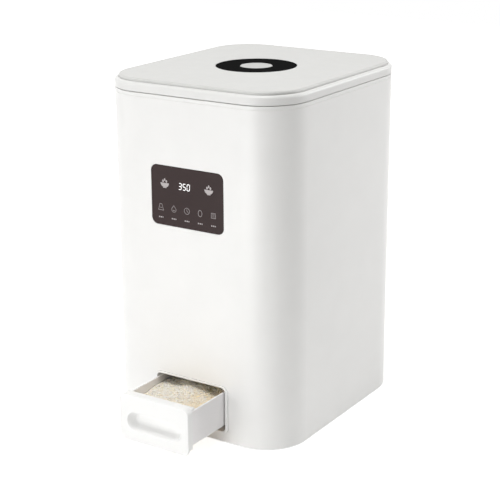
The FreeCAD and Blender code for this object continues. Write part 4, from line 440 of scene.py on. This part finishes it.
def figure(shells, mark, corner, size, line, front, back):
    """Seven-segment figure with its lower left corner given, leaning to the right.

    Each lit segment from a to b, with unit vectors d along and n across it and half width h, is the
    six-sided bar a, a + (d - n) h, b - (d + n) h, b, b + (n - d) h, a + (d + n) h."""
    lean, end_gap = 0.08, 0.3
    ends = np.array([SEGMENT_ENDS[key] for key in FIGURES[mark]], float).reshape(-1, 2, 2) * size
    ends[..., 0] += lean * ends[..., 1]
    a, b = np.moveaxis(ends + corner, 1, 0)
    along = (b - a) / np.linalg.norm(b - a, axis=1, keepdims=True)
    across = np.stack([-along[:, 1], along[:, 0]], axis=-1)
    h = line / 2
    a = a + along * end_gap * h
    b = b - along * end_gap * h
    bars = [a, a + (along - across) * h, b - (along + across) * h, b, b + (across - along) * h,
            a + (along + across) * h]
    slabs(shells, np.stack(bars, axis=1), front, back)


def bowl_mark(shells, x, z, front, back):
    """Full bowl about (x, z): a half disc with a foot, and a heap of three grains over its rim.

    The bowl is r (cos a, 0.88 sin a) for a from 180 to 360 degrees; a grain is r (0.7 cos a, sin a)."""
    bowl_radius, grain_radius = 5.6 * MM, 1.5 * MM
    rim = z - 0.9 * MM
    bowl = arc((0, 0), bowl_radius, 180, 360, 17) * (1.0, 0.88) + (x, rim)
    foot = np.array([(-2.2, -5.6), (2.2, -5.6), (2.2, -4.4), (-2.2, -4.4)]) * MM + (x, rim)
    slabs(shells, bowl[None], front, back)
    slabs(shells, foot[None], front, back)
    for shift, lift in ((-2.2, 1.9), (0.0, 3.6), (2.2, 1.9)):
        grain = arc((0, 0), grain_radius, 0, 345, 16) * (0.7, 1.0) + (x + shift * MM, rim + lift * MM)
        slabs(shells, grain[None], front, back)


def key_marks(shells, xs, z, front, back):
    """Five line marks over the keys: measuring cup, drop, clock, grain and list."""
    line = 0.6 * MM
    r = 3.4 * MM

    def drawn(x, path, closed=False, width=line):
        line_slab(shells, np.array(path) * r + (x, z), width, front, back, closed)

    drawn(xs[0], [(-1, -1), (-0.4, 1), (0.4, 1), (1, -1)], True)
    drawn(xs[0], [(-0.5, -0.2), (0.5, -0.2)])
    drawn(xs[1], np.concatenate([[(0, 1.1)], arc((0, -0.25), 0.85, 30, -210, 17)]), True)
    drawn(xs[1], arc((0, -0.25), 0.4, 200, 340, 7))
    drawn(xs[2], arc((0, 0), 1, 0, 345, 24), True)
    drawn(xs[2], [(0, 0.65), (0, 0), (0.5, -0.35)])
    drawn(xs[3], arc((0, 0), 1, 0, 345, 24) * (0.72, 1.05), True, line * 1.2)
    drawn(xs[4], [(-0.8, -0.8), (0.8, -0.8), (0.8, 0.8), (-0.8, 0.8)], True)
    for up in (-0.35, 0.05, 0.45):
        drawn(xs[4], [(-0.5, up), (0.5, up)], width=line * 0.8)


def panel_print():
    """Marks of the touch panel and its lit figures, as thin slabs half sunk in the glass."""
    low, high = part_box("touch_glass")
    front = low.y - 0.06 * MM
    back = low.y + 0.05 * MM
    top = high.z
    bowl_z, mark_z, caption_z, figure_z = (top - down * MM for down in (18.6, 47.1, 58.5, 24.2))
    key_pitch, key_shift, caption_width = 17.3 * MM, 0.4 * MM, 1.3 * MM
    figure_start, figure_pitch = -10.7, 5.4
    figure_size, figure_line = (3.3 * MM, 6.8 * MM), 0.85 * MM
    bright = Shells()
    for x in (-29.2 * MM, 28.6 * MM):
        bowl_mark(bright, x, bowl_z, front, back)
    marks = Shells()
    keys = key_pitch * (np.arange(5) - 2) - key_shift
    key_marks(marks, keys, mark_z, front, back)
    for x in keys:
        for shift, reach in ((-2.3, 1.5), (0.2, 1.7), (2.4, 1.1)):
            ends = [(x + (shift - reach / 2) * MM, caption_z), (x + (shift + reach / 2) * MM, caption_z)]
            line_slab(bright, ends, caption_width, front, back)
    bright_print = lit("panel_bright_print", (0.36, 0.33, 0.33), 0.35)
    bright.piece("panel_bowls", "cabinet", bright_print)
    mark_print = lit("panel_mark_print", (0.20, 0.175, 0.175), 0.3)
    marks.piece("panel_marks", "cabinet", mark_print)
    lights = Shells()
    for index, mark in enumerate("350"):
        corner = ((figure_start + figure_pitch * index) * MM, figure_z)
        figure(lights, mark, corner, figure_size, figure_line, front, back)
    figure_light = lit("panel_figure_light", (0.86, 0.85, 0.85), 0.66)
    lights.piece("panel_figures", "cabinet", figure_light)


# ---------------------------------------------------------------- rice
slide_shut = next(joint["range_m"][0] for joint in frame["joints"] if joint["name"] == "drawer_slide")
rotor_low, rotor_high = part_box("metering_rotor")
RICE_HALF_WIDTH = drawer_high.x - 4.3 * MM
RICE_FRONT = drawer_low.y + 8.1 * MM
RICE_REAR = drawer_high.y - 2.6 * MM
RICE_FLOOR = drawer_low.z + 2.6 * MM
RICE_EDGE = drawer_high.z - 9.2 * MM
HEAP_RISE = 4.2 * MM
HEAP_SPREAD_X = 30 * MM
HEAP_SPREAD_Y = 42 * MM
HEAP_Y = (rotor_low.y + rotor_high.y) / 2 + slide_shut


def heap_height(x, y):
    """Height of the rice at points (x, y): a heap where the chute lets it fall, gently uneven.

    z = edge + rise exp(-((x / spread)^2 + ((y - y0) / spread)^2)), with ripples of 0.9 and 0.5 mm."""
    heap = np.exp(-((x / HEAP_SPREAD_X) ** 2 + ((y - HEAP_Y) / HEAP_SPREAD_Y) ** 2))
    ripple = 0.9 * MM * np.sin(x * 130 + 1.1) * np.cos(y * 95 + 0.4) + 0.5 * MM * np.sin(x * 260 + y * 210)
    return RICE_EDGE + HEAP_RISE * heap + ripple


def straw_and_painted_shade_share(x, y):
    """Straw colour of the rice at points (x, y), 0 to 1, partly the grains' own colour and partly painted warm
    shade: rises evenly from the heap to the right and rear.
    """
    least, more_behind, more_right = 0.12, 0.75, 0.5
    # The rise to the right and rear paints warm shade over the rice that lies in shade there, besides browner
    # grains.
    behind = np.maximum((y - HEAP_Y) / (RICE_REAR - HEAP_Y), 0)
    right = np.maximum(x / RICE_HALF_WIDTH, 0)
    return np.clip(least + more_behind * behind + more_right * right, 0, 1)


def give_tones(made, tones):
    """Writes how straw-coloured the rice is at each point of its mesh, painted warm shade included, for its finish
    to read.
    """
    tone = made.data.attributes.new("tone", "FLOAT", "POINT")
    tone.data.foreach_set("value", tones.astype(np.float32))


def bed_rim(count=120, radius=4.6 * MM):
    """Rounded rectangle of the bed from above: four arcs joined by straights, at equal steps of length."""
    x = RICE_HALF_WIDTH - radius
    y_low = RICE_FRONT + radius
    y_high = RICE_REAR - radius
    corners = [(x, y_high), (-x, y_high), (-x, y_low), (x, y_low), (x, y_high)]
    arcs = [arc(centre, radius, 90 * index, 90 * index + 90, 7) for index, centre in enumerate(corners)]
    loop = np.concatenate(arcs)[:4 * 7 + 1]
    length = np.concatenate([[0.0], np.cumsum(np.linalg.norm(np.diff(loop, axis=0), axis=1))])
    steps = np.linspace(0, length[-1], count + 1)[:-1]
    return np.stack([np.interp(steps, length, loop[:, axis]) for axis in (0, 1)], axis=-1)


def rice_bed(rice):
    """Closed body of rice: point (s, t) of its top is the rim's point t drawn towards the middle by s.

    The first row is the rim on the drawer's floor; the others stand at the heap's height."""
    rim = bed_rim()
    middle = np.array([0.0, (RICE_FRONT + RICE_REAR) / 2])
    shrink = np.linspace(1.0, 0.04, 20)[:, None, None]
    top = middle + (rim - middle) * shrink
    top = np.concatenate([top, heap_height(top[..., :1], top[..., 1:])], axis=-1)
    foot = np.concatenate([rim, np.full((len(rim), 1), RICE_FLOOR)], axis=-1)
    points = np.concatenate([foot[None], top])
    around = np.arange(len(rim))[None, :]
    bed = Shells()
    bed.add(points, grid_quads(len(points), len(rim)), around[:, ::-1], around + len(rim) * (len(points) - 1))
    made = bed.piece("rice_bed", "drawer", rice, 60)
    give_tones(made, straw_and_painted_shade_share(points[..., 0], points[..., 1]).ravel())


def grain_shape():
    """Blunt closed grain along X: six-sided rings of radius (1 - |u|^2.4)^0.5 at stations u along it."""
    half_length, half_width, half_height = 3.2 * MM, 1.05 * MM, 0.95 * MM
    u = np.array([-0.97, -0.72, -0.25, 0.3, 0.76, 0.97])[:, None]
    rings, sides = len(u), 6
    around = np.arange(sides)[None, :]
    turn = around * TURN / sides
    r = np.sqrt(1 - np.abs(u) ** 2.4)
    points = np.stack(np.broadcast_arrays(u, -r * np.sin(turn), r * np.cos(turn)), axis=-1).reshape(-1, 3)
    points *= half_length, half_width, half_height
    return points, grid_quads(rings, sides), around[:, ::-1], around + sides * (rings - 1)


def turns(angles, axis):
    """Rotation matrices about one axis, one for each angle."""
    a, b = (axis + 1) % 3, (axis + 2) % 3
    made = np.zeros((len(angles), 3, 3))
    made[:, axis, axis] = 1
    made[:, a, a] = made[:, b, b] = np.cos(angles)
    made[:, b, a] = np.sin(angles)
    made[:, a, b] = -np.sin(angles)
    return made


def rice_grains(rice, across=40, along=50, seed=7):
    """Loose grains on the bed: the cells of a grid over it, each with one grain put at random in it.

    A grain is turned by any angle about Z, tipped a little about Y and rolled about X. Its tone is its own,
    about that of its place."""
    rng = np.random.default_rng(seed)
    count = across * along
    cell = np.stack(np.meshgrid(np.arange(across), np.arange(along)), axis=-1).reshape(-1, 2)
    share = (cell + rng.uniform(0.0, 1.0, (count, 2))) / (across, along)
    clear = 3.6 * MM
    low = np.array([-RICE_HALF_WIDTH + clear, RICE_FRONT + clear])
    high = np.array([RICE_HALF_WIDTH - clear, RICE_REAR - clear])
    place = low + share * (high - low)
    height = heap_height(place[:, 0], place[:, 1]) + rng.uniform(-0.5, 0.8, count) * MM
    turn = turns(rng.uniform(0, TURN, count), 2) @ turns(rng.normal(0, 0.2, count), 1)
    turn = turn @ turns(rng.uniform(0, TURN, count), 0)
    shape, quads, *tips = grain_shape()
    size = rng.uniform(0.85, 1.08, count)[:, None, None]
    points = np.einsum("nij,pj->npi", turn, shape) * size + np.column_stack([place, height])[:, None, :]
    first = np.arange(count)[:, None, None] * len(shape)
    grains = Shells()
    grains.add(points, (quads + first).reshape(-1, 4), *[(tip + first).reshape(-1, 6) for tip in tips])
    made = grains.piece("rice_grains", "drawer", rice, 70)
    tones = np.clip(rng.normal(0.0, 0.15, count) + straw_and_painted_shade_share(place[:, 0], place[:, 1]), 0, 1)
    give_tones(made, np.repeat(tones, len(shape)))


# ---------------------------------------------------------------- studio
def seen_directly(tree):
    """1 for rays of the camera, of reflections and through glass, 0 for light on the object."""
    path = tree.nodes.new("ShaderNodeLightPath")
    either = path.outputs["Is Camera Ray"]
    for name in ("Is Glossy Ray", "Is Transmission Ray"):
        larger = tree.nodes.new("ShaderNodeMath")
        larger.operation = "MAXIMUM"
        tree.links.new(either, larger.inputs[0])
        tree.links.new(path.outputs[name], larger.inputs[1])
        either = larger.outputs[0]
    return either


def backdrop_material():
    """White floor that keeps a soft shadow: diffuse, with white added where it is seen directly.

    The added white rises with the distance from the object, because less light falls farther out."""
    near, far, near_white, far_white = 0.35, 1.2, 0.74, 0.95
    material, tree, shader = nodes_of("studio_white")
    shader.inputs["Base Color"].default_value = (0.9, 0.9, 0.9, 1)
    shader.inputs["Roughness"].default_value = 1.0
    shader.inputs["Specular IOR Level"].default_value = 0.0
    shader.inputs["Emission Color"].default_value = (1, 1, 1, 1)
    place = tree.nodes.new("ShaderNodeTexCoord")
    away = tree.nodes.new("ShaderNodeVectorMath")
    away.operation = "LENGTH"
    tree.links.new(place.outputs["Object"], away.inputs[0])
    added = tree.nodes.new("ShaderNodeMath")
    added.operation = "MULTIPLY"
    tree.links.new(ranged(tree, away.outputs["Value"], near_white, far_white, near, far), added.inputs[0])
    tree.links.new(seen_directly(tree), added.inputs[1])
    tree.links.new(added.outputs[0], shader.inputs["Emission Strength"])
    return material


def studio_floor():
    """Wide floor under the object."""
    reach = 3.0
    mesh = bpy.data.meshes.new("studio_floor")
    mesh.from_pydata([(-reach, -reach, 0), (reach, -reach, 0), (reach, reach, 0), (-reach, reach, 0)], [],
                     [(0, 1, 2, 3)])
    mesh.materials.append(backdrop_material())
    plane = bpy.data.objects.new("studio_floor", mesh)
    bpy.context.scene.collection.objects.link(plane)


# Softboxes: azimuth in degrees from the front, to the right positive; height, distance and side in metres;
# power in watts; and whether shiny surfaces mirror it.
LAMPS = {
    "key_left": (-50, 0.3, 2.2, 1.0, 6.8, True),
    "near_front": (-4, 0.06, 0.85, 0.5, 3.25, True),
    "top": (0, 2.0, 0.45, 0.8, 21.5, True),
    "side": (140, 0.9, 2.0, 1.0, 17.5, True),
    "rear": (-105, 1.1, 2.2, 1.0, 8, False),
}


def soft_light(name, azimuth, height, distance, size, power, mirrored):
    """Square softbox of the table above, facing the middle of the object."""
    light = bpy.data.lights.new(name, "AREA")
    light.shape = "SQUARE"
    light.size = size
    light.energy = power
    turn = math.radians(azimuth)
    place = Vector((distance * math.sin(turn), -distance * math.cos(turn), height))
    lamp = bpy.data.objects.new(name, light)
    lamp.location = place
    middle = Vector((0, 0, 0.2))
    lamp.rotation_euler = (middle - place).to_track_quat("-Z", "Y").to_euler()
    lamp.visible_camera = False
    lamp.visible_glossy = mirrored
    bpy.context.scene.collection.objects.link(lamp)


def world_light(strength):
    """Even surrounding light, white where it is seen directly."""
    world = bpy.data.worlds.new("studio")
    bpy.context.scene.world = world
    world.use_nodes = True
    tree = world.node_tree
    around = tree.nodes["Background"]
    around.inputs["Color"].default_value = (1.0, 0.985, 0.965, 1)
    around.inputs["Strength"].default_value = strength
    white = tree.nodes.new("ShaderNodeBackground")
    white.inputs["Color"].default_value = (1, 1, 1, 1)
    mix = tree.nodes.new("ShaderNodeMixShader")
    tree.links.new(seen_directly(tree), mix.inputs["Fac"])
    tree.links.new(around.outputs["Background"], mix.inputs[1])
    tree.links.new(white.outputs["Background"], mix.inputs[2])
    tree.links.new(mix.outputs["Shader"], tree.nodes["World Output"].inputs["Surface"])


def camera():
    """The view: 33 degrees round to the right, 17.5 degrees up, from 1.66 m with a long lens."""
    right = Vector((0.83875034, 0.54448988, -0.00535198))
    up = Vector((-0.15987501, 0.25564866, 0.95345883))
    back = Vector((0.52051691, -0.79885827, 0.30147573))
    data = bpy.data.cameras.new("camera")
    data.lens = 97.737
    data.sensor_width = 36.0
    eye = bpy.data.objects.new("camera", data)
    turn = Matrix((right, up, back)).transposed().to_4x4()
    eye.matrix_world = Matrix.Translation((0.823856, -1.279537, 0.662803)) @ turn
    bpy.context.scene.collection.objects.link(eye)
    bpy.context.scene.camera = eye


def build():
    """Puts the whole scene together."""
    coat_nodes()
    lid_ring_piece()
    squeezed_springs()
    panel_print()
    rice = grain_finish("rice")
    rice_bed(rice)
    rice_grains(rice)
    studio_floor()
    world_light(0.2)
    for name, settings in LAMPS.items():
        soft_light(name, *settings)
    camera()
    bpy.context.scene.view_settings.view_transform = "Standard"


build()
